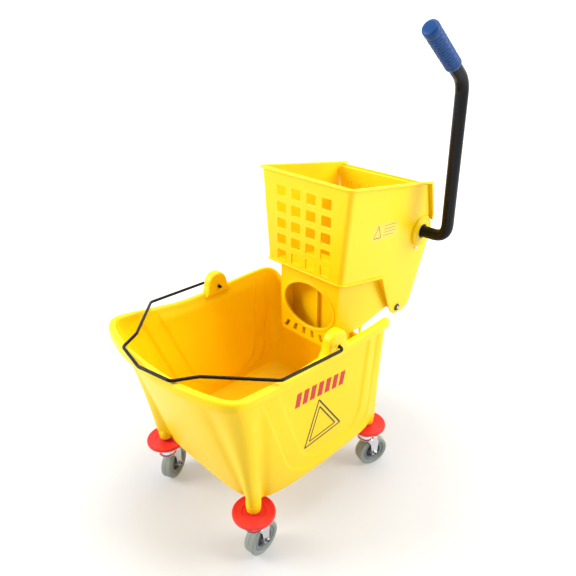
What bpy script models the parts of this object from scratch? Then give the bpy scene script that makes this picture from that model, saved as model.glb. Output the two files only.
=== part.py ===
"""A wheeled mop bucket with a lift-off side-press wringer, its hand lever, press plate, bail and casters.

Metres, +Z up. The bucket's front is at -Y and the wringer end at +Y; the lever is on the +X side.
Heights are measured from DATUM and the whole object is moved by SHIFT at the end, so that the
origin lies on the floor under the middle of the object.
"""

import math

import bmesh
import bpy
from mathutils import Matrix, Vector

# ---- placement -------------------------------------------------------------------------------
FLOOR = -0.0165                       # floor height in the drawing's own datum
SHIFT = Vector((0.0, -0.0561, 0.0165))

# ---- bucket ----------------------------------------------------------------------------------
WALL = 0.004
BASE_Z = 0.118                        # underside of the bucket floor
RIM_SIDE, RIM_FRONT = 0.394, 0.4155   # rim height along the sides and at the front
LIP_OUT, LIP_DROP, LIP_WALL = 0.009, 0.020, 0.0035
# The back rim dips between the corners, so that the wringer's skirt can drop in over it.
DIP, DIP_FLAT, DIP_END, DIP_FROM_Y = 0.084, 0.092, 0.170, 0.145
# Half outlines (x, y), from the middle of the front to the middle of the back.
LIP_LINE = [(0, -0.283), (0.045, -0.2815), (0.088, -0.277), (0.140, -0.264), (0.172, -0.250),
            (0.188, -0.226), (0.1865, -0.160), (0.1800, -0.060), (0.1795, 0.020), (0.1805, 0.110),
            (0.1775, 0.160), (0.166, 0.183), (0.140, 0.190), (0.070, 0.190), (0, 0.190)]
BASE_LINE = [(0, -0.186), (0.038, -0.186), (0.074, -0.185), (0.112, -0.180), (0.138, -0.166),
             (0.152, -0.140), (0.161, -0.095), (0.165, -0.040), (0.167, 0.020), (0.167, 0.090),
             (0.164, 0.136), (0.155, 0.163), (0.134, 0.175), (0.070, 0.178), (0, 0.178)]
EAR_Y, EAR_TOP, EAR_HALF, EAR_IN, EAR_OUT = 0.0067, 0.434, 0.024, 0.1585, 0.1808

# ---- bail ------------------------------------------------------------------------------------
BAIL_Z, BAIL_R, BAIL_HOLE = 0.403, 0.003, 0.0042
BAIL_PATH = [(0.152, EAR_Y, BAIL_Z), (0.193, EAR_Y, BAIL_Z), (0.187, -0.146, 0.412),
             (0.093, -0.2375, 0.4195), (0.070, -0.279, 0.4205), (0.0, -0.2926, 0.4205)]

# ---- casters ---------------------------------------------------------------------------------
# name, stem x, stem y, swivel angle in degrees
CASTERS = [("front_left", -0.1415, -0.1767, 24), ("front_right", 0.1415, -0.1767, 4),
           ("back_left", -0.1415, 0.1700, 8), ("back_right", 0.1415, 0.1700, -20)]
WHEEL_R, WHEEL_W, TRAIL = 0.0365, 0.0240, 0.017
AXLE_R, AXLE_Z = 0.0030, FLOOR + WHEEL_R
STEM_R, STEM_TOP, SOCKET_END = 0.0055, 0.138, 0.1055

# ---- wringer ---------------------------------------------------------------------------------
SIDE_AT_ZERO, SIDE_FLARE, PANEL = 0.0656, 0.0798, 0.004   # outer side face is x = 0.0656 + 0.0798 z
SIDE_LINE = [(0.101, 0.6570), (0.101, 0.4590), (0.2432, 0.4283), (0.2850, 0.3470), (0.303, 0.3170), (0.316, 0.3060),
             (0.352, 0.3030), (0.368, 0.3100), (0.376, 0.3250), (0.4075, 0.4716), (0.405, 0.505),
             (0.3978, 0.5398), (0.3705, 0.6139)]
FRONT_Y, FRONT_BOTTOM, FRONT_TOP = 0.103, 0.4610, 0.6560
GRID_COLS, GRID_ROWS, GRID_DX, GRID_DZ = 4, 5, 0.0396, 0.0347
HOLE_W, HOLE_H, GRID_LOW_Z = 0.0245, 0.0225, 0.4785
SKIRT_X, SKIRT_Y, SKIRT_BACK, SKIRT_LOW = 0.0817, 0.1216, 0.1640, 0.285
SLOT_TOP = 0.3165                     # the slot in the skirt sides that sits over the bucket's back rim
OVAL_Z, OVAL_A, OVAL_B = 0.371, 0.0690, 0.0500

# ---- lever, shaft and press plate ------------------------------------------------------------
SHAFT_Y, SHAFT_Z, SHAFT_R = 0.3665, 0.504, 0.0095
ROD_Y, ROD_Z, ROD_R = 0.324, 0.322, 0.004
BOSS_R, BOSS_X = 0.034, 0.1125
LEVER_X, LEVER_R, GRIP_R = 0.170, 0.0127, 0.0155
LEVER_BEND, LEVER_TIP = (0.3485, 0.8230), (0.2130, 0.9195)
ARM_LENGTH, ARM_TILT, ARM_X, ROLLER_R = 0.070, math.radians(3.4), 0.066, 0.009
PLATE_TILT, RIB_TILT = math.radians(4.0), math.radians(14.0)
PLATE_TOP, PLATE_T = 0.612, 0.005

YELLOW = (0.93, 0.66, 0.01)


# ---- helpers ---------------------------------------------------------------------------------
def clear_scene():
    for obj in list(bpy.data.objects):
        bpy.data.objects.remove(obj, do_unlink=True)


def material(name, colour, roughness=0.45, metallic=0.0):
    made = bpy.data.materials.new(name)
    made.use_nodes = True
    shader = made.node_tree.nodes["Principled BSDF"]
    shader.inputs["Base Color"].default_value = (*colour, 1.0)
    shader.inputs["Roughness"].default_value = roughness
    shader.inputs["Metallic"].default_value = metallic
    made.diffuse_color = (*colour, 1.0)
    return made


def mesh_object(name, points, faces):
    """A mesh object with outward normals, not yet in any collection."""
    mesh = bpy.data.meshes.new(name)
    mesh.from_pydata([tuple(p) for p in points], [], faces)
    build = bmesh.new()
    build.from_mesh(mesh)
    bmesh.ops.remove_doubles(build, verts=build.verts, dist=1e-6)
    bmesh.ops.recalc_face_normals(build, faces=build.faces)
    build.to_mesh(mesh)
    build.free()
    return bpy.data.objects.new(name, mesh)


def loft(rings, closed=False):
    """A body through rings of equal length: capped at both ends, or joined last to first."""
    count = len(rings[0])
    points = [p for ring in rings for p in ring]
    faces = []
    pairs = len(rings) if closed else len(rings) - 1
    for k in range(pairs):
        a, b = k * count, ((k + 1) % len(rings)) * count
        for i in range(count):
            j = (i + 1) % count
            faces.append((a + i, a + j, b + j, b + i))
    if not closed:
        faces.append(tuple(range(count))[::-1])
        faces.append(tuple(range((len(rings) - 1) * count, len(rings) * count)))
    return mesh_object("loft", points, faces)


def circle(centre, along, radius, count, start=0.0):
    """A ring of points about an axis."""
    along = Vector(along).normalized()
    side = along.orthogonal().normalized()
    other = along.cross(side)
    turns = [start + 2 * math.pi * i / count for i in range(count)]
    return [Vector(centre) + radius * (math.cos(t) * side + math.sin(t) * other) for t in turns]


def turned(centre, along, profile, count=20):
    """A body of revolution from (radius, distance along the axis) pairs; a closed ring if all r > 0."""
    along = Vector(along).normalized()
    rings = [circle(Vector(centre) + d * along, along, max(r, 1e-5), count) for r, d in profile]
    solid_core = profile[0][0] == 0
    return loft(rings, closed=not solid_core)


def prism(line, x_low, x_high):
    """A (y, z) outline pushed out along X. Each side's x may depend on z."""
    low = x_low if callable(x_low) else (lambda z: x_low)
    high = x_high if callable(x_high) else (lambda z: x_high)
    rings = [[Vector((f(z), y, z)) for y, z in line] for f in (low, high)]
    return loft(rings)


def block(x, y, z):
    return prism([(y[0], z[0]), (y[1], z[0]), (y[1], z[1]), (y[0], z[1])], x[0], x[1])


def combine(base, adds=(), cuts=()):
    """Boolean unions, then differences, applied to the base body."""
    for operation, tools in (("UNION", adds), ("DIFFERENCE", cuts)):
        for tool in tools:
            for obj in (base, tool):
                if obj.name not in bpy.context.scene.collection.objects:
                    bpy.context.scene.collection.objects.link(obj)
            modifier = base.modifiers.new("join", "BOOLEAN")
            modifier.operation, modifier.solver, modifier.object = operation, "EXACT", tool
            graph = bpy.context.evaluated_depsgraph_get()
            mesh = bpy.data.meshes.new_from_object(base.evaluated_get(graph))
            base.modifiers.clear()
            old, base.data = base.data, mesh
            bpy.data.meshes.remove(old)
            bpy.data.objects.remove(tool, do_unlink=True)
    if base.name in bpy.context.scene.collection.objects:
        bpy.context.scene.collection.objects.unlink(base)
    return base


def wire(name, path, radius, sides=2):
    curve = bpy.data.curves.new(name, "CURVE")
    curve.dimensions = "3D"
    curve.bevel_depth, curve.bevel_resolution, curve.use_fill_caps = radius, sides, True
    spline = curve.splines.new("POLY")
    spline.points.add(len(path) - 1)
    for point, place in zip(spline.points, path):
        point.co = (*place, 1.0)
    return bpy.data.objects.new(name, curve)


def as_mesh(obj):
    """The body of a curve as a mesh, welded, so that a Boolean can use it."""
    bpy.context.scene.collection.objects.link(obj)
    graph = bpy.context.evaluated_depsgraph_get()
    mesh = bpy.data.meshes.new_from_object(obj.evaluated_get(graph))
    bpy.data.objects.remove(obj, do_unlink=True)
    build = bmesh.new()
    build.from_mesh(mesh)
    bmesh.ops.remove_doubles(build, verts=build.verts, dist=1e-6)
    bmesh.ops.recalc_face_normals(build, faces=build.faces)
    build.to_mesh(mesh)
    build.free()
    return bpy.data.objects.new(mesh.name, mesh)


def bend(path, radius, steps):
    """The path with each inner corner replaced by an arc."""
    path = [Vector(p) for p in path]
    out = [path[0]]
    for before, corner, after in zip(path, path[1:], path[2:]):
        a, b = (before - corner).normalized(), (after - corner).normalized()
        half = a.angle(b) / 2
        reach = min(radius / math.tan(half), 0.45 * min((before - corner).length, (after - corner).length))
        start, end = corner + a * reach, corner + b * reach
        for i in range(steps + 1):
            t = i / steps
            out.append((1 - t) ** 2 * start + 2 * t * (1 - t) * corner + t * t * end)
    return out + [path[-1]]


def finish(obj, name, look, origin=None, smooth=35):
    """Names the body, puts its origin on the joint axis it turns about, and files it."""
    obj.name = name
    obj.data.name = name
    obj.data.materials.clear()
    obj.data.materials.append(look)
    if origin is not None:
        origin = Vector(origin)
        obj.data.transform(Matrix.Translation(-origin))
        obj.location = origin
    if obj.type == "MESH":
        obj.data.shade_smooth()
        obj.data.set_sharp_from_angle(angle=math.radians(smooth))
    obj.location += SHIFT
    bpy.data.collections["mop_bucket_with_wringer"].objects.link(obj)
    return obj


# ---- bucket ----------------------------------------------------------------------------------
def closed_outline(half, fine=2):
    """A smooth closed loop through a half outline and its mirror image."""
    loop = half + [(-x, y) for x, y in half[-2:0:-1]]
    out = []
    for i in range(len(loop)):
        p0, p1, p2, p3 = (Vector(loop[(i + k) % len(loop)]) for k in (-1, 0, 1, 2))
        for j in range(fine):
            t = j / fine
            out.append(0.5 * ((2 * p1) + (p2 - p0) * t + (2 * p0 - 5 * p1 + 4 * p2 - p3) * t * t
                              + (3 * p1 - p0 - 3 * p2 + p3) * t ** 3))
    return out


def inset(loop, depth):
    out = []
    for i, p in enumerate(loop):
        along = (loop[(i + 1) % len(loop)] - loop[i - 1]).normalized()
        out.append(p + depth * Vector((-along.y, along.x)))
    return out


def rim_height(p):
    """The rim rises gently towards the front and dips across the back."""
    t = min(max((-p.y - 0.06) / 0.20, 0.0), 1.0)
    height = RIM_SIDE + (RIM_FRONT - RIM_SIDE) * t * t * (3 - 2 * t)
    if p.y > DIP_FROM_Y:
        height -= DIP * min(max((DIP_END - abs(p.x)) / (DIP_END - DIP_FLAT), 0.0), 1.0)
    return height


def bucket_shell():
    lip = closed_outline(LIP_LINE)
    wall_top, base = inset(lip, LIP_OUT), closed_outline(BASE_LINE)
    wall_low = BASE_Z + 0.012

    def level(loop, z):
        return [Vector((p.x, p.y, z)) for p in loop]

    def under_rim(loop, drop):
        return [Vector((p.x, p.y, rim_height(q) - drop)) for p, q in zip(loop, wall_top)]

    def wall(s, depth):
        ring = []
        for a, b, q in zip(inset(base, depth), inset(wall_top, depth), wall_top):
            p = a.lerp(b, s)
            ring.append(Vector((p.x, p.y, wall_low + s * (rim_height(q) - LIP_WALL - wall_low))))
        return ring

    rings = [level(inset(base, 0.011), BASE_Z), level(inset(base, 0.003), BASE_Z + 0.0028)]
    rings += [wall(s, 0.0) for s in (0, 0.25, 0.5, 0.75, 1.0)]
    rings += [under_rim(inset(lip, LIP_WALL), LIP_WALL), under_rim(inset(lip, LIP_WALL), LIP_DROP)]
    rings += [under_rim(lip, LIP_DROP), under_rim(lip, 0.004), under_rim(inset(lip, 0.0035), 0.0)]
    rings += [under_rim(inset(wall_top, 0.0025), 0.0), under_rim(inset(wall_top, WALL), 0.003)]
    rings += [wall(s, WALL) for s in (0.75, 0.5, 0.25, 0.0)]
    rings += [level(inset(base, 0.007), BASE_Z + WALL + 0.003), level(inset(base, 0.014), BASE_Z + WALL)]
    shell = loft(rings)
    # The cutter that trims what is added on the outside is a little bigger than the hollow itself.
    hollow = loft([level(inset(base, 0.012), BASE_Z + 0.0022), level(inset(base, 0.004), BASE_Z + 0.006)]
                  + [wall(s, 0.002) for s in (0, 0.25, 0.5, 0.75, 1.0)]
                  + [level(inset(wall_top, 0.002), 0.46)])
    return shell, hollow


def corner_column(x, y):
    """The tapered caster socket under each corner and the column that runs from it up the wall."""
    inward = -math.copysign(1, x)
    if y < 0:
        spots = [(0, 0, SOCKET_END, 0.0130), (0, 0, SOCKET_END + 0.02, 0.0155),
                 (0, -0.0050, 0.185, 0.0185), (0.004 * inward, -0.016, 0.275, 0.0200)]
    else:
        spots = [(0, 0, SOCKET_END, 0.0130), (0, 0, SOCKET_END + 0.02, 0.0155),
                 (0.001 * inward, -0.001, 0.190, 0.0160), (0.012 * inward, -0.010, 0.260, 0.0120)]
    return loft([circle((x + dx, y + dy, z), (0, 0, 1), r, 18) for dx, dy, z, r in spots])


def ear(side):
    line = [(EAR_Y - EAR_HALF, 0.380), (EAR_Y + EAR_HALF, 0.380)]
    line += [(EAR_Y + EAR_HALF * math.cos(a), EAR_TOP - EAR_HALF + EAR_HALF * math.sin(a))
             for a in (math.pi * i / 12 for i in range(13))]
    return prism(line, side * EAR_IN, side * EAR_OUT)


def build_bucket():
    shell, hollow = bucket_shell()
    columns, bosses, bores = [], [], []
    for _, x, y, _ in CASTERS:
        trimmed_by = hollow.copy()
        trimmed_by.data = hollow.data.copy()
        columns.append(combine(corner_column(x, y), cuts=[trimmed_by]))
        bosses.append(turned((x, y, 0), (0, 0, 1),
                             [(0, BASE_Z + 0.001), (0.0115, BASE_Z + 0.001), (0.0112, 0.143), (0.0095, 0.146),
                              (0, 0.146)], 16))
        bores.append(turned((x, y, 0), (0, 0, 1), [(0, 0.09), (0.0058, 0.09), (0.0058, 0.1400), (0, 0.1400)], 12))
    holes = [turned((0.15 * s, EAR_Y, BAIL_Z), (s, 0, 0), [(0, 0), (BAIL_HOLE, 0), (BAIL_HOLE, 0.05), (0, 0.05)], 16)
             for s in (-1, 1)]
    bpy.data.objects.remove(hollow, do_unlink=True)
    body = combine(shell, columns + bosses + [ear(-1), ear(1)], bores + holes)
    finish(body, "bucket_shell", material("bucket_yellow", YELLOW))


def build_bail():
    half = [Vector(p) for p in BAIL_PATH]
    whole = half + [Vector((-p.x, p.y, p.z)) for p in half[-2::-1]]
    path = bend(whole, 0.012, 3)
    finish(wire("bail", path, BAIL_R), "bail_handle", material("bail_black", (0.012, 0.012, 0.013), 0.3),
           (0, EAR_Y, BAIL_Z))


# ---- casters ---------------------------------------------------------------------------------
def build_caster(name, x, y, degrees):
    angle = math.radians(degrees)
    axle = Vector((math.cos(angle), math.sin(angle), 0))
    trail = Vector((-math.sin(angle), math.cos(angle), 0))
    stem, up = Vector((x, y, 0)), Vector((0, 0, 1))
    hub_at = stem + TRAIL * trail + AXLE_Z * up

    finish(turned(stem, up, [(0, 0.0750), (0.013, 0.0750), (0.013, 0.0780), (0.0085, 0.0788), (0.0085, 0.0872),
                             (STEM_R, 0.0873), (STEM_R, STEM_TOP - 0.001), (0.0045, STEM_TOP), (0, STEM_TOP)], 10),
           "caster_stem_" + name, material("stem_steel_" + name, (0.62, 0.63, 0.65), 0.3, 1.0))
    disc = [(0.0062, 0.0877), (0.0125, 0.0877), (0.0134, 0.0962), (0.0350, 0.0972), (0.0392, 0.0966),
            (0.0418, 0.0995), (0.0415, 0.1030), (0.0388, 0.1048), (0.0330, 0.1036), (0.0062, 0.1030)]
    finish(turned(stem, up, disc, 22), "bumper_disc_" + name, material("bumper_red_" + name, (0.72, 0.035, 0.02), 0.4),
           (x, y, 0.1))

    crown = turned(stem, up, [(0, 0.0640), (0.0205, 0.0640), (0.0205, 0.0668), (0.0165, 0.0672), (0.0150, 0.0745),
                              (0, 0.0745)], 20)
    foot = [(TRAIL + 0.0085 * math.cos(a), AXLE_Z + 0.0085 * math.sin(a))
            for a in (-math.pi * i / 6 for i in range(7))]
    leg_line = [(-0.010, 0.0655), (0.017, 0.0655)] + foot
    legs = []
    for s in (-1, 1):
        near, far = s * (WHEEL_W / 2 + 0.0018), s * (WHEEL_W / 2 + 0.0042)
        legs.append(loft([[stem + a * axle + t * trail + z * up for t, z in leg_line] for a in (near, far)]))
    hole = turned(hub_at, axle, [(0, -0.03), (AXLE_R + 0.0003, -0.03), (AXLE_R + 0.0003, 0.03), (0, 0.03)], 12)
    finish(combine(crown, legs, [hole]), "caster_fork_" + name,
           material("fork_zinc_" + name, (0.75, 0.76, 0.78), 0.28, 1.0), (x, y, 0.07))

    half = WHEEL_W / 2
    bolt = [(0, -half - 0.0082), (0.0055, -half - 0.0078), (0.0055, -half - 0.0046), (AXLE_R, -half - 0.0046),
            (AXLE_R, half + 0.0046), (0.0052, half + 0.0046), (0.0052, half + 0.0085), (0.0022, half + 0.0090),
            (0, half + 0.0090)]
    finish(turned(hub_at, axle, bolt, 8), "axle_bolt_" + name,
           material("bolt_steel_" + name, (0.55, 0.56, 0.58), 0.35, 1.0), tuple(hub_at))
    rim_in, shoulder = 0.70 * WHEEL_R, WHEEL_R - 0.0031
    tyre = [(rim_in, -half + 0.003), (shoulder, -half), (WHEEL_R - 0.0008, -half + 0.0035), (WHEEL_R, 0),
            (WHEEL_R - 0.0008, half - 0.0035), (shoulder, half), (rim_in, half - 0.003)]
    finish(turned(hub_at, axle, tyre, 22), "tyre_" + name, material("tyre_grey_" + name, (0.30, 0.33, 0.30), 0.55),
           tuple(hub_at))
    hub = [(AXLE_R + 0.0003, -half + 0.0005), (0.0085, -half + 0.0005), (0.0095, -half + 0.0055), (rim_in - 0.0035, -half + 0.0060),
           (rim_in - 0.0003, -half + 0.0038), (rim_in - 0.0003, half - 0.0038), (rim_in - 0.0035, half - 0.0060),
           (0.0095, half - 0.0055), (0.0085, half - 0.0005), (AXLE_R + 0.0003, half - 0.0005)]
    finish(turned(hub_at, axle, hub, 16), "wheel_hub_" + name, material("hub_grey_" + name, (0.10, 0.11, 0.12), 0.5),
           tuple(hub_at))


# ---- wringer ---------------------------------------------------------------------------------
def side_x(z):
    return SIDE_AT_ZERO + SIDE_FLARE * z


def both_sides(line, inner, outer):
    """The same plate on the left and on the right, its faces offset from the flared side face."""
    return [prism(line, lambda z: s * (side_x(z) + inner), lambda z: s * (side_x(z) + outer)) for s in (-1, 1)]


def across(line, sink=0.002):
    """A plate that spans the wringer and ends inside both side panels."""
    return prism(line, lambda z: -side_x(z) + sink, lambda z: side_x(z) - sink)


def skirt_side(s):
    """A skirt side with its slot over the back rim; it runs back as far as the sloping apron."""
    line = [(0.1216, 0.4560), (0.1216, SKIRT_LOW), (0.1625, SKIRT_LOW), (0.1655, 0.2930), (0.1655, SLOT_TOP),
            (0.2000, SLOT_TOP), (0.2012, 0.2960), (0.2065, 0.2960), (0.2100, SLOT_TOP), (0.2960, 0.3300),
            (0.3050, 0.3300), (0.2450, 0.4290)]
    return prism(line, s * SKIRT_X, s * (SKIRT_X - 0.0035))


def wringer_plates():
    plates = both_sides(SIDE_LINE, -PANEL, 0.0)
    front = across([(FRONT_Y, FRONT_BOTTOM - 0.003), (FRONT_Y + PANEL, FRONT_BOTTOM - 0.003),
                    (FRONT_Y + PANEL, FRONT_TOP), (FRONT_Y, FRONT_TOP)], 0.0015)
    ledge = across([(0.0975, 0.4610), (0.0975, 0.4572), (0.2450, 0.4262), (0.2470, 0.4300)], 0.0012)
    apron = across([(0.2440, 0.4295), (0.3080, 0.3240), (0.3112, 0.3258), (0.2478, 0.4305)])
    crossbar = across([(0.3555, 0.5830), (0.3602, 0.5830), (0.3602, 0.6135), (0.3555, 0.6140)], 0.0018)
    skirt_front = block((-0.0800, 0.0800), (SKIRT_Y + 0.0004, SKIRT_Y + 0.0040), (SKIRT_LOW + 0.0006, 0.4570))
    skirt_back = block((-0.0795, 0.0795), (SKIRT_BACK - 0.0075, SKIRT_BACK - 0.0040), (SKIRT_LOW + 0.0006, 0.4460))
    skirt_floor = block((-0.0792, 0.0792), (SKIRT_Y + 0.001, SKIRT_BACK - 0.0045), (SKIRT_LOW + 0.0003, SKIRT_LOW + 0.0038))
    flange_line = [(0.0965, 0.6588), (0.0965, 0.6546), (0.3735, 0.6108), (0.3738, 0.6150)]
    top = both_sides(flange_line, -0.0022, 0.0060)
    front_lip = block((-0.1205, 0.1205), (0.0962, 0.1060), (0.6538, 0.6580))
    edge_line = [(0.3655, 0.6120), (0.3725, 0.6125), (0.4005, 0.5398), (0.4030, 0.5230), (0.3965, 0.5230),
                 (0.3935, 0.5390)]
    back_edges = both_sides(edge_line, -0.0024, 0.0075)
    bosses = [turned((0, SHAFT_Y, SHAFT_Z), (s, 0, 0), [(0, 0.0985), (BOSS_R, 0.0985), (BOSS_R, BOSS_X - 0.002),
                                                       (BOSS_R - 0.002, BOSS_X), (0, BOSS_X)], 28) for s in (-1, 1)]
    rib = block((-0.0021, 0.0021), (SKIRT_BACK - 0.0160, SKIRT_BACK - 0.0050), (SKIRT_LOW + 0.002, 0.4440))
    return plates + [front, ledge, apron, crossbar, skirt_front, skirt_back, skirt_floor, rib, skirt_side(-1),
                     skirt_side(1), *top, front_lip, *back_edges, *bosses]


def grid_holes():
    cuts = []
    for col in range(GRID_COLS):
        x = (col - (GRID_COLS - 1) / 2) * GRID_DX
        for row in range(GRID_ROWS):
            z = GRID_LOW_Z + row * GRID_DZ
            cuts.append(block((x - HOLE_W / 2, x + HOLE_W / 2), (FRONT_Y - 0.01, FRONT_Y + 0.015),
                              (z - HOLE_H / 2, z + HOLE_H / 2)))
    return cuts


def drain_cuts():
    ring = [(OVAL_A * math.cos(a), OVAL_B * math.sin(a)) for a in (2 * math.pi * i / 28 for i in range(28))]
    cuts = [loft([[Vector((u, y, OVAL_Z + w)) for u, w in ring] for y in (SKIRT_Y - 0.01, SKIRT_Y + 0.012)])]
    for i in range(6):
        x = (i - 2.5) * 0.0245
        cuts.append(block((x - 0.005, x + 0.005), (SKIRT_Y - 0.01, SKIRT_Y + 0.012), (0.2945, 0.3130)))
        cuts.append(block((x - 0.005, x + 0.005), (SKIRT_Y + 0.009, SKIRT_BACK - 0.018), (SKIRT_LOW - 0.01, SKIRT_LOW + 0.01)))
    # The mouth from the press chamber down into the skirt.
    cuts.append(block((-0.0740, 0.0740), (SKIRT_Y + 0.0080, SKIRT_BACK - 0.0170), (0.4200, 0.4700)))
    return cuts


def build_wringer():
    plates = wringer_plates()
    bores = []
    for s, reach in ((-1, 0.0128), (1, 0.0161)):
        bores.append(turned((0, SHAFT_Y, SHAFT_Z), (s, 0, 0), [(0, 0.09), (reach, 0.09), (reach, 0.13), (0, 0.13)], 20))
        bores.append(turned((0, ROD_Y, ROD_Z), (s, 0, 0), [(0, 0.08), (0.0043, 0.08), (0.0043, 0.1), (0, 0.1)], 12))
        bores.append(turned((0, 0.3590, 0.4630), (s, 0, 0), [(0, 0.09), (0.0023, 0.09), (0.0023, 0.12), (0, 0.12)], 10))
    body = combine(plates[0], plates[1:], grid_holes() + drain_cuts() + bores)
    finish(body, "wringer_housing", material("wringer_yellow", YELLOW))

    steel = (0.60, 0.61, 0.63)
    finish(turned((0, ROD_Y, ROD_Z), (1, 0, 0), [(0, -0.0962), (0.0032, -0.0962), (ROD_R, -0.0952), (ROD_R, 0.0952),
                                               (0.0032, 0.0962), (0, 0.0962)], 14),
           "pivot_rod", material("rod_steel", steel, 0.3, 1.0))
    for s, side in ((-1, "left"), (1, "right")):
        finish(turned((0, ROD_Y, ROD_Z), (s, 0, 0), [(0.0043, 0.0926), (0.0085, 0.0926), (0.0078, 0.0945), (0.0043, 0.0948)], 16),
               "rod_cap_" + side, material("cap_black_" + side, (0.02, 0.02, 0.02), 0.5))
        inner = SHAFT_R + 0.0003 if s < 0 else LEVER_R + 0.0003
        outer = 0.0125 if s < 0 else 0.0158
        finish(turned((0, SHAFT_Y, SHAFT_Z), (s, 0, 0), [(inner, 0.0975), (outer, 0.0975), (outer, BOSS_X + 0.0002),
                                                       (inner, BOSS_X + 0.0002)], 20),
               "shaft_bush_" + side, material("bush_nylon_" + side, (0.05, 0.05, 0.05), 0.5))
        face = side_x(0.4630) + 0.0007
        finish(turned((0, 0.3590, 0.4630), (s, 0, 0), [(0, 0.0965), (0.0018, 0.0968), (0.0018, face), (0.0050, face),
                                                      (0.0046, face + 0.0018), (0, face + 0.0026)], 12),
               "housing_screw_" + side, material("screw_steel_" + side, steel, 0.3, 1.0))


# ---- press plate -----------------------------------------------------------------------------
def tilted(angle, up, back=0.0):
    """A point at a distance up a line that leans back from the hinge rod, and behind it."""
    return (ROD_Y + up * math.sin(angle) + back * math.cos(angle),
            ROD_Z + up * math.cos(angle) - back * math.sin(angle))


def build_press_plate():
    long = (PLATE_TOP - ROD_Z) / math.cos(PLATE_TILT)
    t = PLATE_T / 2
    slab_line = [tilted(PLATE_TILT, 0.004, -t), tilted(PLATE_TILT, 0.004, t), tilted(PLATE_TILT, long, t),
                 tilted(PLATE_TILT, long + 0.003, 0), tilted(PLATE_TILT, long, -t)]
    slab = prism(slab_line, lambda z: -side_x(z) + 0.0095, lambda z: side_x(z) - 0.0095)
    barrel = turned((0, ROD_Y, ROD_Z), (1, 0, 0), [(0, -0.080), (0.009, -0.080), (0.009, 0.080), (0, 0.080)], 18)
    ribs = []
    for s in (-1, 1):
        line = [tilted(PLATE_TILT, 0.012, 0.0), tilted(RIB_TILT, 0.030), tilted(RIB_TILT, 0.160),
                tilted(PLATE_TILT, 0.175, 0.0)]
        ribs.append(prism(line, s * 0.051, s * 0.059))
    stiff = [prism([tilted(PLATE_TILT, 0.255, 0.001), tilted(PLATE_TILT, 0.258, 0.0075),
                    tilted(PLATE_TILT, 0.272, 0.0075), tilted(PLATE_TILT, 0.275, 0.001)], -0.090, 0.090)]
    bore = turned((0, ROD_Y, ROD_Z), (1, 0, 0), [(0, -0.1), (ROD_R + 0.0004, -0.1), (ROD_R + 0.0004, 0.1), (0, 0.1)], 14)
    finish(combine(slab, [barrel] + ribs + stiff, [bore]), "press_plate", material("plate_yellow", YELLOW),
           (0, ROD_Y, ROD_Z))


# ---- lever -----------------------------------------------------------------------------------
def lever_path():
    lower = [(0.0990, SHAFT_Y, SHAFT_Z), (LEVER_X, SHAFT_Y, SHAFT_Z), (LEVER_X, *LEVER_BEND)]
    curve = bend(lower, 0.045, 8)
    knee = bend([curve[-2], (LEVER_X, *LEVER_BEND), (LEVER_X, *LEVER_TIP)], 0.050, 6)
    return curve[:-1] + knee[1:]


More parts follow.
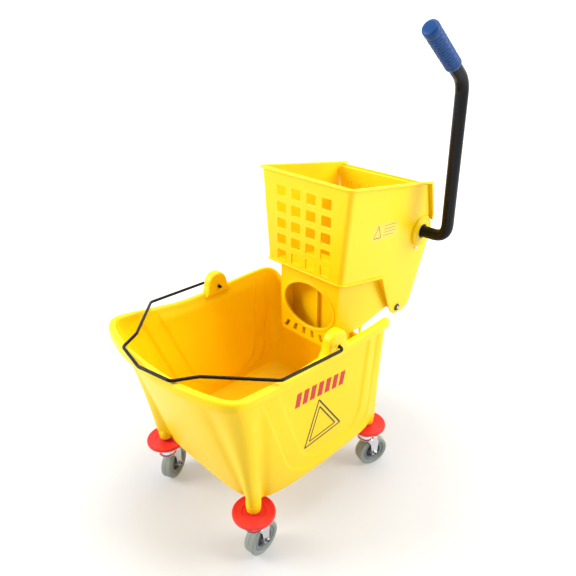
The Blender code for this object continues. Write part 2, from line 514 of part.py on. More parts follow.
def build_lever():
    pivot = (0, SHAFT_Y, SHAFT_Z)
    black = (0.012, 0.012, 0.014)
    shaft = [(0, -0.1185), (0.0085, -0.1185), (SHAFT_R, -0.1175), (SHAFT_R, 0.0980), (0.0085, 0.0986), (0, 0.0986)]
    finish(turned(pivot, (1, 0, 0), shaft, 18), "lever_shaft", material("shaft_steel", (0.5, 0.51, 0.53), 0.35, 1.0), pivot)
    ring = [(SHAFT_R + 0.0003, -0.1130), (0.0138, -0.1130), (0.0138, -0.1158), (SHAFT_R + 0.0003, -0.1158)]
    finish(turned(pivot, (1, 0, 0), ring[::-1], 18), "shaft_retainer", material("retainer_steel", (0.55, 0.56, 0.58), 0.35, 1.0),
           pivot)

    path = lever_path()
    tip = Vector((LEVER_X, *LEVER_TIP))
    along = (tip - Vector((LEVER_X, *LEVER_BEND))).normalized()
    path[-1] = tip - 0.006 * along
    bore = [path[0] - Vector((0.01, 0, 0))] + path[1:-1] + [path[-1] - 0.004 * along]
    tube = combine(as_mesh(wire("lever", path, LEVER_R, 2)), cuts=[as_mesh(wire("bore", bore, LEVER_R - 0.002, 2))])
    finish(tube, "lever_tube", material("lever_black", black, 0.25), pivot)

    start, ribs = 0.1130, 9
    profile = [(LEVER_R + 0.0003, -start), (GRIP_R, -start)]
    step = (start - 0.012) / ribs
    for i in range(ribs):
        a = -start + 0.004 + i * step
        profile += [(GRIP_R, a), (GRIP_R - 0.0010, a + 0.35 * step), (GRIP_R, a + 0.7 * step)]
    profile += [(GRIP_R - 0.0005, -0.0035), (GRIP_R - 0.0045, 0.0), (0.0001, 0.0006), (0.0001, -0.0052), (LEVER_R + 0.0003, -0.0052)]
    # The grip is a blind sleeve: outside up to the tip, cap, then the inside back down.
    finish(loft(grip_rings(tip, along, profile)), "hand_grip", material("grip_blue", (0.02, 0.06, 0.30), 0.5), pivot)

    down = Vector((0, -math.sin(ARM_TILT), -math.cos(ARM_TILT)))
    for s, side in ((-1, "left"), (1, "right")):
        eye = Vector((0, SHAFT_Y, SHAFT_Z)) + ARM_LENGTH * down
        hub = turned(pivot, (s, 0, 0), [(0, ARM_X - 0.006), (0.0155, ARM_X - 0.006), (0.0155, ARM_X + 0.006), (0, ARM_X + 0.006)], 20)
        across_arm = Vector((0, down.z, -down.y))
        corners = [Vector(pivot) + across_arm * w + down * d for w, d in ((-0.011, 0.0), (0.011, 0.0), (0.0075, ARM_LENGTH), (-0.0075, ARM_LENGTH))]
        bar = prism([(c.y, c.z) for c in corners], s * (ARM_X - 0.003), s * (ARM_X + 0.003))
        eye_end = turned(tuple(eye), (s, 0, 0), [(0, ARM_X - 0.0031), (0.0076, ARM_X - 0.0031), (0.0076, ARM_X + 0.0031), (0, ARM_X + 0.0031)], 14)
        pin = turned(tuple(eye), (s, 0, 0), [(0, 0.0480), (0.003, 0.0480), (0.003, ARM_X), (0, ARM_X)], 12)
        bore = turned(pivot, (s, 0, 0), [(0, 0.04), (SHAFT_R + 0.0003, 0.04), (SHAFT_R + 0.0003, 0.09), (0, 0.09)], 18)
        finish(combine(hub, [bar, eye_end, pin], [bore]), "crank_arm_" + side,
               material("crank_steel_" + side, (0.45, 0.46, 0.48), 0.4, 1.0), pivot)
        finish(turned(tuple(eye), (s, 0, 0), [(0.0033, 0.0495), (ROLLER_R, 0.0495), (ROLLER_R, 0.0605), (0.0033, 0.0605)], 18),
               "crank_roller_" + side, material("roller_nylon_" + side, (0.8, 0.8, 0.78), 0.4), tuple(eye))


def grip_rings(tip, along, profile):
    """Rings for a blind sleeve, starting on the closed inner face and ending on the closed tip."""
    outside = [(r, d) for r, d in profile[1:] if r > 0.001][:-1]
    inside = [(LEVER_R + 0.0003, -0.0052), (LEVER_R + 0.0003, profile[0][1])]
    order = [(0.0040, -0.0052)] + inside + outside
    return [circle(tip + d * along, along, r, 16) for r, d in order]


def build_spring():
    """The torsion spring on the shaft that brings the lever back up."""
    turns, pitch, radius, count = 5, 0.0034, 0.0135, 12
    path = []
    for i in range(turns * count + 1):
        a = 2 * math.pi * i / count
        path.append(Vector((-0.0945 + pitch * i / count, SHAFT_Y + radius * math.cos(a), SHAFT_Z + radius * math.sin(a))))
    path.insert(0, Vector((-0.0945, SHAFT_Y + radius, SHAFT_Z + 0.022)))
    path.append(path[-1] + Vector((0, 0, 0.022)))
    finish(wire("spring", path, 0.0011, 1), "return_spring", material("spring_steel", (0.4, 0.41, 0.43), 0.35, 1.0))


def main():
    clear_scene()
    parts = bpy.data.collections.new("mop_bucket_with_wringer")
    bpy.context.scene.collection.children.link(parts)
    build_bucket()
    build_bail()
    for caster in CASTERS:
        build_caster(*caster)
    build_wringer()
    build_press_plate()
    build_lever()
    build_spring()


main()
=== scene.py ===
"""The looks of the mop bucket with side-press wringer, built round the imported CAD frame."""

import math

import bmesh
import bpy
from mathutils import Matrix, Vector


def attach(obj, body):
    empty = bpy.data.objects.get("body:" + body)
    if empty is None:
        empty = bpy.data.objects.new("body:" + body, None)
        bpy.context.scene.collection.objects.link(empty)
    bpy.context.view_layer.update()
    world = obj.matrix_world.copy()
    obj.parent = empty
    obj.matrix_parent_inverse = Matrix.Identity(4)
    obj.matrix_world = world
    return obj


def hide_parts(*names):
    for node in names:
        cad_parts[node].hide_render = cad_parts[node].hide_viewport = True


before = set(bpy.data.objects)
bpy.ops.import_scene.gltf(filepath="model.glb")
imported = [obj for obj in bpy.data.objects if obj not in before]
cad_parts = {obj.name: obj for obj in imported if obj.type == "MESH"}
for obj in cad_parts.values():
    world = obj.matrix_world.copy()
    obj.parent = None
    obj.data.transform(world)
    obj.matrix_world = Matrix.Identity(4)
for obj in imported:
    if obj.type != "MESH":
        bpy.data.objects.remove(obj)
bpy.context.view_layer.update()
SHIFT = Vector((0.0, -0.0561, 0.0165))     # from the drawing's datum to the row frame
FLOOR = -0.0165                            # the ground, in the drawing

# ---- driving dimensions, the same as in the CAD where it has them ----
BASE_Z, WALL, TOE_R = 0.118, 0.004, 0.012
RIM_SIDE, RIM_FRONT = 0.394, 0.4155
LIP_OUT, LIP_DROP, LIP_WALL = 0.009, 0.02, 0.0035
DIP, DIP_FLAT, DIP_END, DIP_FROM_Y = 0.084, 0.092, 0.17, 0.145
LIP_LINE = [(0, -0.283), (0.045, -0.2815), (0.088, -0.277), (0.14, -0.264), (0.172, -0.25),
            (0.188, -0.226), (0.1865, -0.16), (0.18, -0.06), (0.1795, 0.02), (0.1805, 0.11),
            (0.1775, 0.16), (0.166, 0.183), (0.14, 0.19), (0.07, 0.19), (0, 0.19)]
BASE_LINE = [(0, -0.186), (0.038, -0.186), (0.074, -0.185), (0.112, -0.18), (0.138, -0.166),
             (0.152, -0.14), (0.161, -0.095), (0.165, -0.04), (0.167, 0.02), (0.167, 0.09),
             (0.164, 0.136), (0.155, 0.163), (0.134, 0.175), (0.07, 0.178), (0, 0.178)]
EAR_Y, EAR_TOP, EAR_HALF, EAR_IN, EAR_OUT = 0.0067, 0.434, 0.024, 0.1585, 0.1808
EAR_FOOT, EAR_KNEE, EAR_EDGE = 0.386, 0.3955, 0.0055
BAIL_Z, BAIL_R, BAIL_HOLE = 0.403, 0.003, 0.0042
BAIL_PATH = [(0.152, EAR_Y, BAIL_Z), (0.193, EAR_Y, BAIL_Z), (0.187, -0.146, 0.412),
             (0.093, -0.2375, 0.4195), (0.07, -0.279, 0.4205), (0.0, -0.2926, 0.4205)]
CASTERS = [("front_left", -0.1415, -0.1767, 24), ("front_right", 0.1415, -0.1767, 4),
           ("back_left", -0.1415, 0.17, 8), ("back_right", 0.1415, 0.17, -20)]
WHEEL_R, WHEEL_W, TRAIL = 0.0365, 0.024, 0.017
AXLE_R, AXLE_Z = 0.003, FLOOR + WHEEL_R
SIDE_AT_ZERO, SIDE_FLARE, PANEL = 0.0656, 0.0798, 0.004
HOPPER_Y, HOPPER_LOW = 0.101, 0.4575
SIDE_LINE = [(HOPPER_Y, 0.657), (HOPPER_Y, 0.459), (0.2432, 0.4283), (0.285, 0.347), (0.303, 0.317),
             (0.316, 0.306), (0.352, 0.303), (0.368, 0.31), (0.376, 0.325), (0.4075, 0.4716), (0.405, 0.505),
             (0.3978, 0.5398), (0.3705, 0.6139)]
FRONT_Y, FRONT_BOTTOM, FRONT_TOP = 0.103, 0.461, 0.656
GRID_COLS, GRID_ROWS, GRID_DX, GRID_DZ = 4, 5, 0.0396, 0.0347
HOLE_W, HOLE_H, HOLE_CORNER, GRID_LOW_Z = 0.0245, 0.0225, 0.0024, 0.4785
SKIRT_X, SKIRT_Y, SKIRT_BACK, SKIRT_LOW = 0.0817, 0.1216, 0.164, 0.285
SLOT_TOP, CORNER_R = 0.3165, 0.01
OVAL_Z, OVAL_A, OVAL_B = 0.371, 0.069, 0.05
SHAFT_Y, SHAFT_Z, SHAFT_R = 0.3665, 0.504, 0.0095
SHAFT_AT = (0, SHAFT_Y, SHAFT_Z)
ROD_Y, ROD_Z, ROD_R = 0.324, 0.322, 0.004
ROD_AT = (0, ROD_Y, ROD_Z)
BOSS_R, BOSS_X = 0.034, 0.1125
LEVER_X, LEVER_R, GRIP_R = 0.17, 0.0127, 0.0155
LEVER_BEND, LEVER_TIP = (0.3485, 0.823), (0.213, 0.9195)
PLATE_TILT, RIB_TILT, PLATE_TOP, PLATE_T = math.radians(4.0), math.radians(14.0), 0.612, 0.005
SCREW_Y, SCREW_Z = 0.359, 0.463

# ---- detail that only the looks have ----
# Each side panel step: (front edge y, lean), (back edge y, lean), low edge z, depth.
PANEL_FIELDS = [((-0.1785, 0.36), (0.15, 0.06), 0.143, 0.003), ((-0.141, 0.376), (0.12, 0.08), 0.153, 0.0027)]
PANEL_EDGES_Z, PANEL_CORNER, PANEL_STEP = 0.38, 0.05, 0.0034
# Each corner pillar: place at the base and at the top, radius gained, reach, groove depth.
FRONT_COLUMN = ((0.1415, -0.1767), (0.166, -0.233), 0.0135, 0.026, 0.0034)
BACK_COLUMN = ((0.1415, 0.17), (0.15, 0.176), 0.006, 0.0085, 0.0016)
COLUMN_RISE, COLUMN_R, COLUMN_PROUD = 0.267, 0.0145, 0.003
DECAL_LIFT, DECAL_CELL = 0.00022, 0.004
GRIP_LENGTH, GRIP_RIBS, GRIP_TRIM = 0.111, 13, 0.0022
LABEL_Y, LABEL_Z, LABEL_LIFT, INK_LIFT = 0.228, 0.547, 0.00015, 0.0003
EYE_AT, EYE_AZIMUTH, EYE_ELEVATION, EYE_LENS = Vector((0.7155, -0.6696, 0.9667)), 44.47, 27.45, 35.487
FLOOR_REACH, SWEEP_START, SWEEP_R, SWEEP_TOP = 14.0, 3.0, 3.0, 9.0


# ---- mesh helpers ----
def add_to_scene(obj):
    bpy.context.scene.collection.objects.link(obj)


def mesh_object(name, points, faces):
    """An unlinked object, welded, with its faces turned outwards."""
    mesh = bpy.data.meshes.new(name)
    mesh.from_pydata([tuple(p) for p in points], [], faces)
    build = bmesh.new()
    build.from_mesh(mesh)
    bmesh.ops.remove_doubles(build, verts=build.verts, dist=1e-6)
    bmesh.ops.recalc_face_normals(build, faces=build.faces)
    build.to_mesh(mesh)
    build.free()
    return bpy.data.objects.new(name, mesh)


def loft(rings, closed=False):
    """A skin over rings of equal length: capped at both ends, or closed into a loop."""
    count = len(rings[0])
    points = [p for ring in rings for p in ring]
    faces = []
    for k in range(len(rings) if closed else len(rings) - 1):
        a, b = k * count, ((k + 1) % len(rings)) * count
        faces += [(a + i, a + (i + 1) % count, b + (i + 1) % count, b + i) for i in range(count)]
    if not closed:
        faces.append(tuple(range(count))[::-1])
        faces.append(tuple(range((len(rings) - 1) * count, len(rings) * count)))
    return mesh_object("loft", points, faces)


def circle(centre, along, radius, count):
    along = Vector(along).normalized()
    side = along.orthogonal().normalized()
    other = along.cross(side)
    turns = [2 * math.pi * i / count for i in range(count)]
    return [Vector(centre) + radius * (math.cos(t) * side + math.sin(t) * other) for t in turns]


def turned(centre, along, profile, count=64):
    """A profile of (radius, distance along) turned about an axis."""
    along = Vector(along).normalized()
    rings = [circle(Vector(centre) + d * along, along, max(r, 1e-5), count) for r, d in profile]
    return loft(rings, closed=profile[0][0] > 0)


def prism(line, x_low, x_high):
    """A (y, z) outline between two x faces, each a number or a function of z."""
    low = x_low if callable(x_low) else (lambda z: x_low)
    high = x_high if callable(x_high) else (lambda z: x_high)
    return loft([[Vector((f(z), y, z)) for y, z in line] for f in (low, high)])


def block(x, y, z):
    return prism([(y[0], z[0]), (y[1], z[0]), (y[1], z[1]), (y[0], z[1])], x[0], x[1])


def cut_away(base, tools):
    """The base with the shape of each tool taken out of it."""
    scene = bpy.context.scene.collection
    for tool in tools:
        for obj in (base, tool):
            if obj.name not in scene.objects:
                scene.objects.link(obj)
        modifier = base.modifiers.new("cut", "BOOLEAN")
        modifier.operation, modifier.solver, modifier.object = "DIFFERENCE", "EXACT", tool
        graph = bpy.context.evaluated_depsgraph_get()
        mesh = bpy.data.meshes.new_from_object(base.evaluated_get(graph))
        base.modifiers.clear()
        base.data = mesh
        bpy.data.objects.remove(tool, do_unlink=True)
    if base.name in scene.objects:
        scene.objects.unlink(base)
    return base


def fillet(corner, toward, away, reach, steps):
    """Points that round a corner between two unit directions."""
    start, end = corner + toward * reach, corner + away * reach
    shares = [k / steps for k in range(steps + 1)]
    return [(1 - t) ** 2 * start + 2 * t * (1 - t) * corner + t * t * end for t in shares]


def rounded_corners(points, radius, steps=5):
    """A closed 2D outline with each corner rounded."""
    out = []
    for i, corner in enumerate(points):
        corner, before, after = Vector(corner), Vector(points[i - 1]), Vector(points[(i + 1) % len(points)])
        a, b = before - corner, after - corner
        reach = min(radius / math.tan(max(a.angle(b) / 2, 0.1)), 0.45 * a.length, 0.45 * b.length)
        out += fillet(corner, a.normalized(), b.normalized(), reach, steps)
    return [(p.x, p.y) for p in out]


def bend(path, radius, steps):
    """A 3D path with its inner corners rounded."""
    path = [Vector(p) for p in path]
    out = [path[0]]
    for before, corner, after in zip(path, path[1:], path[2:]):
        a, b = (before - corner).normalized(), (after - corner).normalized()
        half = a.angle(b) / 2
        reach = min(radius / math.tan(half), 0.45 * min((before - corner).length, (after - corner).length))
        out += fillet(corner, a, b, reach, steps)
    return out + [path[-1]]


def wire(name, path, radius, sides):
    """A round bar along a path."""
    curve = bpy.data.curves.new(name, "CURVE")
    curve.dimensions = "3D"
    curve.bevel_depth, curve.bevel_resolution, curve.use_fill_caps = radius, sides, True
    spline = curve.splines.new("POLY")
    spline.points.add(len(path) - 1)
    for point, place in zip(spline.points, path):
        point.co = (*place, 1.0)
    obj = bpy.data.objects.new(name, curve)
    add_to_scene(obj)
    graph = bpy.context.evaluated_depsgraph_get()
    mesh = bpy.data.meshes.new_from_object(obj.evaluated_get(graph))
    bpy.data.objects.remove(obj, do_unlink=True)
    return bpy.data.objects.new(name, mesh)


def soften_edges(obj, width):
    """Rounds the sharp edges and leaves the large flat faces flat-shaded."""
    build = bmesh.new()
    build.from_mesh(obj.data)
    bmesh.ops.remove_doubles(build, verts=build.verts, dist=2e-5)
    bmesh.ops.dissolve_limit(build, angle_limit=math.radians(1), verts=build.verts, edges=build.edges)
    bmesh.ops.recalc_face_normals(build, faces=build.faces)
    sharp = [e for e in build.edges if e.is_manifold and e.calc_face_angle(0) > math.radians(32)]
    strips = set(bmesh.ops.bevel(build, geom=sharp, offset=width, segments=2, profile=0.5, affect="EDGES",
                                 clamp_overlap=True)["faces"])
    for face in build.faces:
        face.smooth = face in strips or face.calc_area() < 1e-4
    build.to_mesh(obj.data)
    build.free()
    return obj


def joined(pieces):
    """Several closed shapes as one object, each keeping its own shading."""
    build = bmesh.new()
    for piece in pieces:
        build.from_mesh(piece.data)
        bpy.data.objects.remove(piece, do_unlink=True)
    mesh = bpy.data.meshes.new("joined")
    build.to_mesh(mesh)
    build.free()
    return bpy.data.objects.new("joined", mesh)


def smoothed(obj, angle=40):
    obj.data.shade_smooth()
    obj.data.set_sharp_from_angle(angle=math.radians(angle))
    return obj


def place(obj, name, look, body, nodes=(), slot=None, smooth=40):
    """Files a finished piece: name, finish, the CAD body it rides on and the nodes it stands for."""
    obj.name = obj.data.name = name
    obj.data.materials.clear()
    obj.data.materials.append(look)
    obj.data.transform(Matrix.Translation(SHIFT))
    add_to_scene(obj)
    if smooth:
        smoothed(obj, smooth)
    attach(obj, body)
    if nodes:
        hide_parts(*nodes)
    return obj


# ---- finishes ----
def set_inputs(node, **values):
    """Sets inputs of a shader node, each named with _ for a space."""
    for name, value in values.items():
        node.inputs[name.replace("_", " ")].default_value = value


def finish_of(name, colour, roughness, metallic=0.0, second=None, patch=9.0, grain=700.0, grain_depth=0.12,
              uneven=0.06, subsurface=0.0, scuff=0.0, specular=0.5):
    """A Principled finish with uneven colour, uneven gloss, a fine surface grain and faint scuffs."""
    made = bpy.data.materials.new(name)
    made.use_nodes = True
    tree = made.node_tree
    shader, link = tree.nodes["Principled BSDF"], tree.links.new
    set_inputs(shader, Specular_IOR_Level=specular, Metallic=metallic)
    if subsurface:
        set_inputs(shader, Subsurface_Weight=subsurface, Subsurface_Radius=(0.01, 0.006, 0.001),
                   Subsurface_Scale=0.6)
    where = tree.nodes.new("ShaderNodeTexCoord")

    def noise(scale, detail):
        node = tree.nodes.new("ShaderNodeTexNoise")
        set_inputs(node, Scale=scale, Detail=detail)
        link(where.outputs["Object"], node.inputs["Vector"])
        return node

    patches = noise(patch, 5)
    mix = tree.nodes.new("ShaderNodeMix")
    mix.data_type = "RGBA"
    link(patches.outputs["Fac"], mix.inputs["Factor"])
    mix.inputs["A"].default_value = (*colour, 1)
    mix.inputs["B"].default_value = (*(second or [c * 0.88 for c in colour]), 1)
    gloss = tree.nodes.new("ShaderNodeMapRange")
    link(noise(patch * 6, 6).outputs["Fac"], gloss.inputs["Value"])
    set_inputs(gloss, To_Min=max(roughness - uneven, 0.02), To_Max=roughness + uneven)
    rough_out = gloss.outputs["Result"]
    if scuff:
        marks = noise(70, 8)
        stretch = tree.nodes.new("ShaderNodeMapping")
        set_inputs(stretch, Scale=(0.25, 0.35, 2.6))
        link(where.outputs["Object"], stretch.inputs["Vector"])
        link(stretch.outputs["Vector"], marks.inputs["Vector"])
        ramp = tree.nodes.new("ShaderNodeMapRange")
        set_inputs(ramp, From_Min=0.62, From_Max=0.72, To_Max=scuff)
        link(marks.outputs["Fac"], ramp.inputs["Value"])
        add = tree.nodes.new("ShaderNodeMath")
        link(rough_out, add.inputs[0])
        link(ramp.outputs["Result"], add.inputs[1])
        rough_out = add.outputs["Value"]
    link(mix.outputs["Result"], shader.inputs["Base Color"])
    link(rough_out, shader.inputs["Roughness"])
    bump = tree.nodes.new("ShaderNodeBump")
    set_inputs(bump, Strength=grain_depth, Distance=0.0004)
    link(noise(grain, 3).outputs["Fac"], bump.inputs["Height"])
    link(bump.outputs["Normal"], shader.inputs["Normal"])
    return made


YELLOW, AMBER = (0.95, 0.645, 0.002), (0.94, 0.62, 0.002)
MOULDED = {"second": AMBER, "grain": 420, "grain_depth": 0.1, "specular": 0.25}
LOOK = {
    "yellow": finish_of("moulded_yellow", YELLOW, 0.36, patch=5, subsurface=0.12, scuff=0.1, **MOULDED),
    "yellow_wringer": finish_of("moulded_yellow_wringer", YELLOW, 0.38, patch=6, subsurface=0.1,
                                scuff=0.08, **MOULDED),
    "yellow_plate": finish_of("moulded_yellow_plate", YELLOW, 0.4, patch=7, subsurface=0.1, scuff=0.08,
                              **MOULDED),
    "red": finish_of("bumper_red", (0.88, 0.04, 0.032), 0.38, second=(0.8, 0.034, 0.028), patch=18, grain=500,
                     grain_depth=0.12, subsurface=0.05, scuff=0.12, specular=0.3),
    "zinc": finish_of("fork_zinc", (0.78, 0.8, 0.83), 0.24, 1.0, second=(0.66, 0.68, 0.72), patch=60,
                      grain=300, grain_depth=0.1, uneven=0.1),
    "steel": finish_of("turned_steel", (0.6, 0.61, 0.63), 0.3, 1.0, second=(0.5, 0.51, 0.54), patch=90,
                       grain=600, uneven=0.1),
    "tyre": finish_of("tyre_grey", (0.33, 0.37, 0.325), 0.5, second=(0.29, 0.325, 0.285), patch=30, grain=900,
                      grain_depth=0.25, scuff=0.15),
    "hub": finish_of("hub_grey", (0.25, 0.27, 0.29), 0.4, second=(0.2, 0.215, 0.235), patch=40, grain=700),
    # Near black: painted shade on the floor of each hub recess, and also the colour of the axle ends.
    "recess_shade_and_axle_ends": finish_of("painted_recess_shade_and_axle_ends", (0.035, 0.037, 0.042), 0.45, second=(0.025, 0.026, 0.03), patch=40,
                        grain=700),
    "black_wire": finish_of("bail_black", (0.005, 0.005, 0.005), 0.26, second=(0.007, 0.007, 0.007), patch=50,
                            grain=900, specular=0.16),
    "black_tube": finish_of("lever_black", (0.005, 0.005, 0.006), 0.2, second=(0.006, 0.006, 0.007), patch=30,
                            grain=350, grain_depth=0.08, uneven=0.05, specular=0.16),
    "blue": finish_of("grip_blue", (0.002, 0.05, 0.2), 0.42, second=(0.002, 0.04, 0.165), patch=60, grain=900,
                      grain_depth=0.3, specular=0.25),
    "nylon_black": finish_of("nylon_black", (0.02, 0.02, 0.021), 0.45, patch=50, grain=800),
    "nylon_white": finish_of("nylon_white", (0.7, 0.7, 0.66), 0.4, patch=50, grain=800, subsurface=0.1),
    "spring": finish_of("spring_steel", (0.42, 0.43, 0.45), 0.34, 1.0, patch=120, grain=500),
    "crank": finish_of("crank_plated", (0.48, 0.49, 0.51), 0.36, 1.0, patch=70, grain=400, uneven=0.12),
    "ink_red": finish_of("ink_red", (0.6, 0.015, 0.01), 0.42, second=(0.52, 0.012, 0.008), patch=40,
                         grain=600),
    "ink_black": finish_of("ink_black", (0.016, 0.015, 0.01), 0.42, second=(0.028, 0.024, 0.012), patch=40,
                           grain=600),
    "label": finish_of("label_pale", (0.94, 0.62, 0.03), 0.3, second=(0.93, 0.59, 0.024), patch=40,
                       grain=800),
}


# ---- bucket ----
def closed_outline(half, fine):
    """A smooth closed loop through a half outline and its mirror image."""
    loop = half + [(-x, y) for x, y in half[-2:0:-1]]
    out = []
    for i in range(len(loop)):
        p0, p1, p2, p3 = (Vector(loop[(i + k) % len(loop)]) for k in (-1, 0, 1, 2))
        for j in range(fine):
            t = j / fine
            out.append(0.5 * ((2 * p1) + (p2 - p0) * t + (2 * p0 - 5 * p1 + 4 * p2 - p3) * t * t
                              + (3 * p1 - p0 - 3 * p2 + p3) * t ** 3))
    return out


def inset(loop, depth):
    """The loop moved inwards by a depth."""
    out = []
    for i, p in enumerate(loop):
        along = (loop[(i + 1) % len(loop)] - loop[i - 1]).normalized()
        out.append(p + depth * Vector((-along.y, along.x)))
    return out


def evened(loop, other, count):
    """Both loops resampled at the same, evenly spaced parameters of the first."""
    lengths = [0.0]
    for i in range(len(loop)):
        lengths.append(lengths[-1] + (loop[(i + 1) % len(loop)] - loop[i]).length)
    first, second, k = [], [], 0
    for n in range(count):
        target = lengths[-1] * n / count
        while lengths[k + 1] < target:
            k += 1
        t = (target - lengths[k]) / (lengths[k + 1] - lengths[k])
        first.append(loop[k].lerp(loop[(k + 1) % len(loop)], t))
        second.append(other[k].lerp(other[(k + 1) % len(loop)], t))
    return first, second


def rim_height(p):
    """The rim rises to the front and dips at the back, where the wringer hangs."""
    t = min(max((-p.y - 0.06) / 0.2, 0.0), 1.0)
    height = RIM_SIDE + (RIM_FRONT - RIM_SIDE) * t * t * (3 - 2 * t)
    if p.y > DIP_FROM_Y:
        height -= DIP * min(max((DIP_END - abs(p.x)) / (DIP_END - DIP_FLAT), 0.0), 1.0)
    return height


def smooth(t):
    t = min(max(t, 0.0), 1.0)
    return t * t * (3 - 2 * t)


LIP, BASE = evened(closed_outline(LIP_LINE, 16), closed_outline(BASE_LINE, 16), 440)
WALL_TOP = inset(LIP, LIP_OUT)
WALL_LOW = BASE_Z + TOE_R


def panel_distance(y, z, front, back, low):
    """Distance inside a U-shaped field that is open at the top."""
    drop = PANEL_EDGES_Z - z
    ahead, behind, above = y - (front[0] + front[1] * drop), (back[0] - back[1] * drop) - y, z - low
    side = min(ahead, behind)
    if side < PANEL_CORNER and above < PANEL_CORNER:
        return PANEL_CORNER - math.hypot(PANEL_CORNER - side, PANEL_CORNER - above)
    return min(side, above)


def panel_relief(p, z):
    """Two nested steps pressed into each side wall."""
    side = smooth((abs(p.x) - 0.13) / 0.015)
    if not side:
        return 0.0
    return -side * sum(depth * smooth(panel_distance(p.y, z, front, back, low) / PANEL_STEP + 0.5)
                       for front, back, low, depth in PANEL_FIELDS)


def column_relief(p, z, inward):
    """The corner pillars that run down into the caster sockets, with a soft groove on either side."""
    t = min(max((z - BASE_Z) / COLUMN_RISE, 0.0), 1.0)
    low, high, gained, reach, deep = FRONT_COLUMN if p.y < 0 else BACK_COLUMN
    centre = Vector((math.copysign(low[0] + (high[0] - low[0]) * t, p.x), low[1] + (high[1] - low[1]) * t))
    radius = COLUMN_R + gained * t
    away = centre - Vector((p.x, p.y))
    across = abs(away.x * inward.y - away.y * inward.x)
    if across > 4 * radius or away.length > 0.09:
        return 0.0
    proud = COLUMN_PROUD + reach * (1 - t) ** 1.7
    u = min(across / (1.3 * radius), 1.0)
    groove = deep * (0.35 + 0.65 * min(1.0, 2 * t)) * (1 - smooth((t - 0.82) / 0.18) * 0.6)
    return proud * (1 - u * u) ** 1.5 - groove * math.exp(-((across - 1.75 * radius) / (0.5 * radius)) ** 2)


def bulge(p, z, inward, columns=True):
    """How far the wall stands out of its plain loft at a point."""
    return panel_relief(p, z) + (column_relief(p, z, inward) if columns else 0.0)


def bucket_rings():
    """Up the outer wall, round the rolled lip, and down the inner wall to the floor."""
    def level(loop, z):
        return [Vector((p.x, p.y, z)) for p in loop]

    def under_rim(loop, drop):
        return [Vector((p.x, p.y, rim_height(q) - drop)) for p, q in zip(loop, WALL_TOP)]

    def wall(s, depth, columns=True):
        ring = []
        mid = [a.lerp(b, s) for a, b in zip(BASE, WALL_TOP)]
        for p, q, n in zip(mid, WALL_TOP, inset(mid, 1.0)):
            z = WALL_LOW + s * (rim_height(q) - LIP_WALL - WALL_LOW)
            fade = 1 - smooth((s - 0.9) / 0.1)
            moved = p + (n - p) * (depth - fade * bulge(p, z, n - p, columns))
            ring.append(Vector((moved.x, moved.y, z)))
        return ring

    def toe(k, count):
        """The rounded edge under the wall."""
        a = math.pi / 2 * k / count
        ring = []
        for p, n in zip(BASE, inset(BASE, 1.0)):
            out = TOE_R * (1 - math.sin(a)) - math.sin(a) * bulge(p, WALL_LOW, n - p)
            moved = p + (n - p) * out
            ring.append(Vector((moved.x, moved.y, BASE_Z + TOE_R * (1 - math.cos(a)))))
        return ring

    steps = 84
    rings = [level(inset(BASE, 0.018), BASE_Z)] + [toe(k, 7) for k in range(7)] + [wall(0.0, 0.0)]
    rings += [wall(k / steps, 0.0) for k in range(1, steps + 1)]
    lip = [(LIP_WALL, LIP_WALL), (LIP_WALL, LIP_DROP - 0.001), (LIP_WALL - 0.0008, LIP_DROP),
           (0.0004, LIP_DROP), (0.0, LIP_DROP - 0.0008), (0.0, 0.013)]
    lip += [(0.0062 * (1 - math.cos(a)), 0.0075 * (1 - math.sin(a)))
            for a in (math.pi / 2 * k / 8 for k in range(9))]
    rings += [under_rim(inset(LIP, depth), drop) for depth, drop in lip]
    rings += [under_rim(inset(WALL_TOP, depth), drop)
              for depth, drop in ((0.0008, 0.0002), (0.003, 0.0012), (WALL + 0.0002, 0.0045))]
    rings += [wall(k / 40, WALL, False) for k in range(39, -1, -1)]
    for k in range(1, 6):
        a = math.pi / 2 * k / 5
        rings.append(level(inset(BASE, WALL + 0.01 * math.sin(a)), BASE_Z + WALL + 0.008 * (1 - math.sin(a))))
    return rings


def ear(side):
    """One upright ear that the bail hooks into."""
    outline = [(EAR_Y - EAR_HALF - 0.01, EAR_FOOT), (EAR_Y + EAR_HALF + 0.01, EAR_FOOT),
               (EAR_Y + EAR_HALF + 0.004, EAR_KNEE)]
    outline += [(EAR_Y + EAR_HALF * math.cos(a), EAR_TOP - EAR_HALF + EAR_HALF * math.sin(a))
                for a in (math.pi * i / 32 for i in range(2, 31))]
    outline += [(EAR_Y - EAR_HALF - 0.004, EAR_KNEE)]
    centre = Vector((EAR_Y, 0.405))
    rings = []
    mid, half = (EAR_IN + EAR_OUT) / 2, (EAR_OUT - EAR_IN) / 2
    for k in range(13):
        a = -math.pi / 2 + math.pi * k / 12
        shrink = EAR_EDGE * (1 - math.cos(a))
        x = side * (mid + (half - EAR_EDGE) * (1 if a > 0 else -1 if a < 0 else 0) + EAR_EDGE * math.sin(a))
        ring = []
        for y, z in outline:
            away = Vector((y, z)) - centre
            q = centre + away * max(0.0, 1 - shrink / away.length)
            ring.append(Vector((x, q.x, q.y)))
        rings.append(ring)
    body = loft(rings)
    hole = turned((0.15 * side, EAR_Y, BAIL_Z), (side, 0, 0),
                  [(0, 0), (BAIL_HOLE, 0), (BAIL_HOLE, 0.05), (0, 0.05)], 32)
    return cut_away(body, [hole])


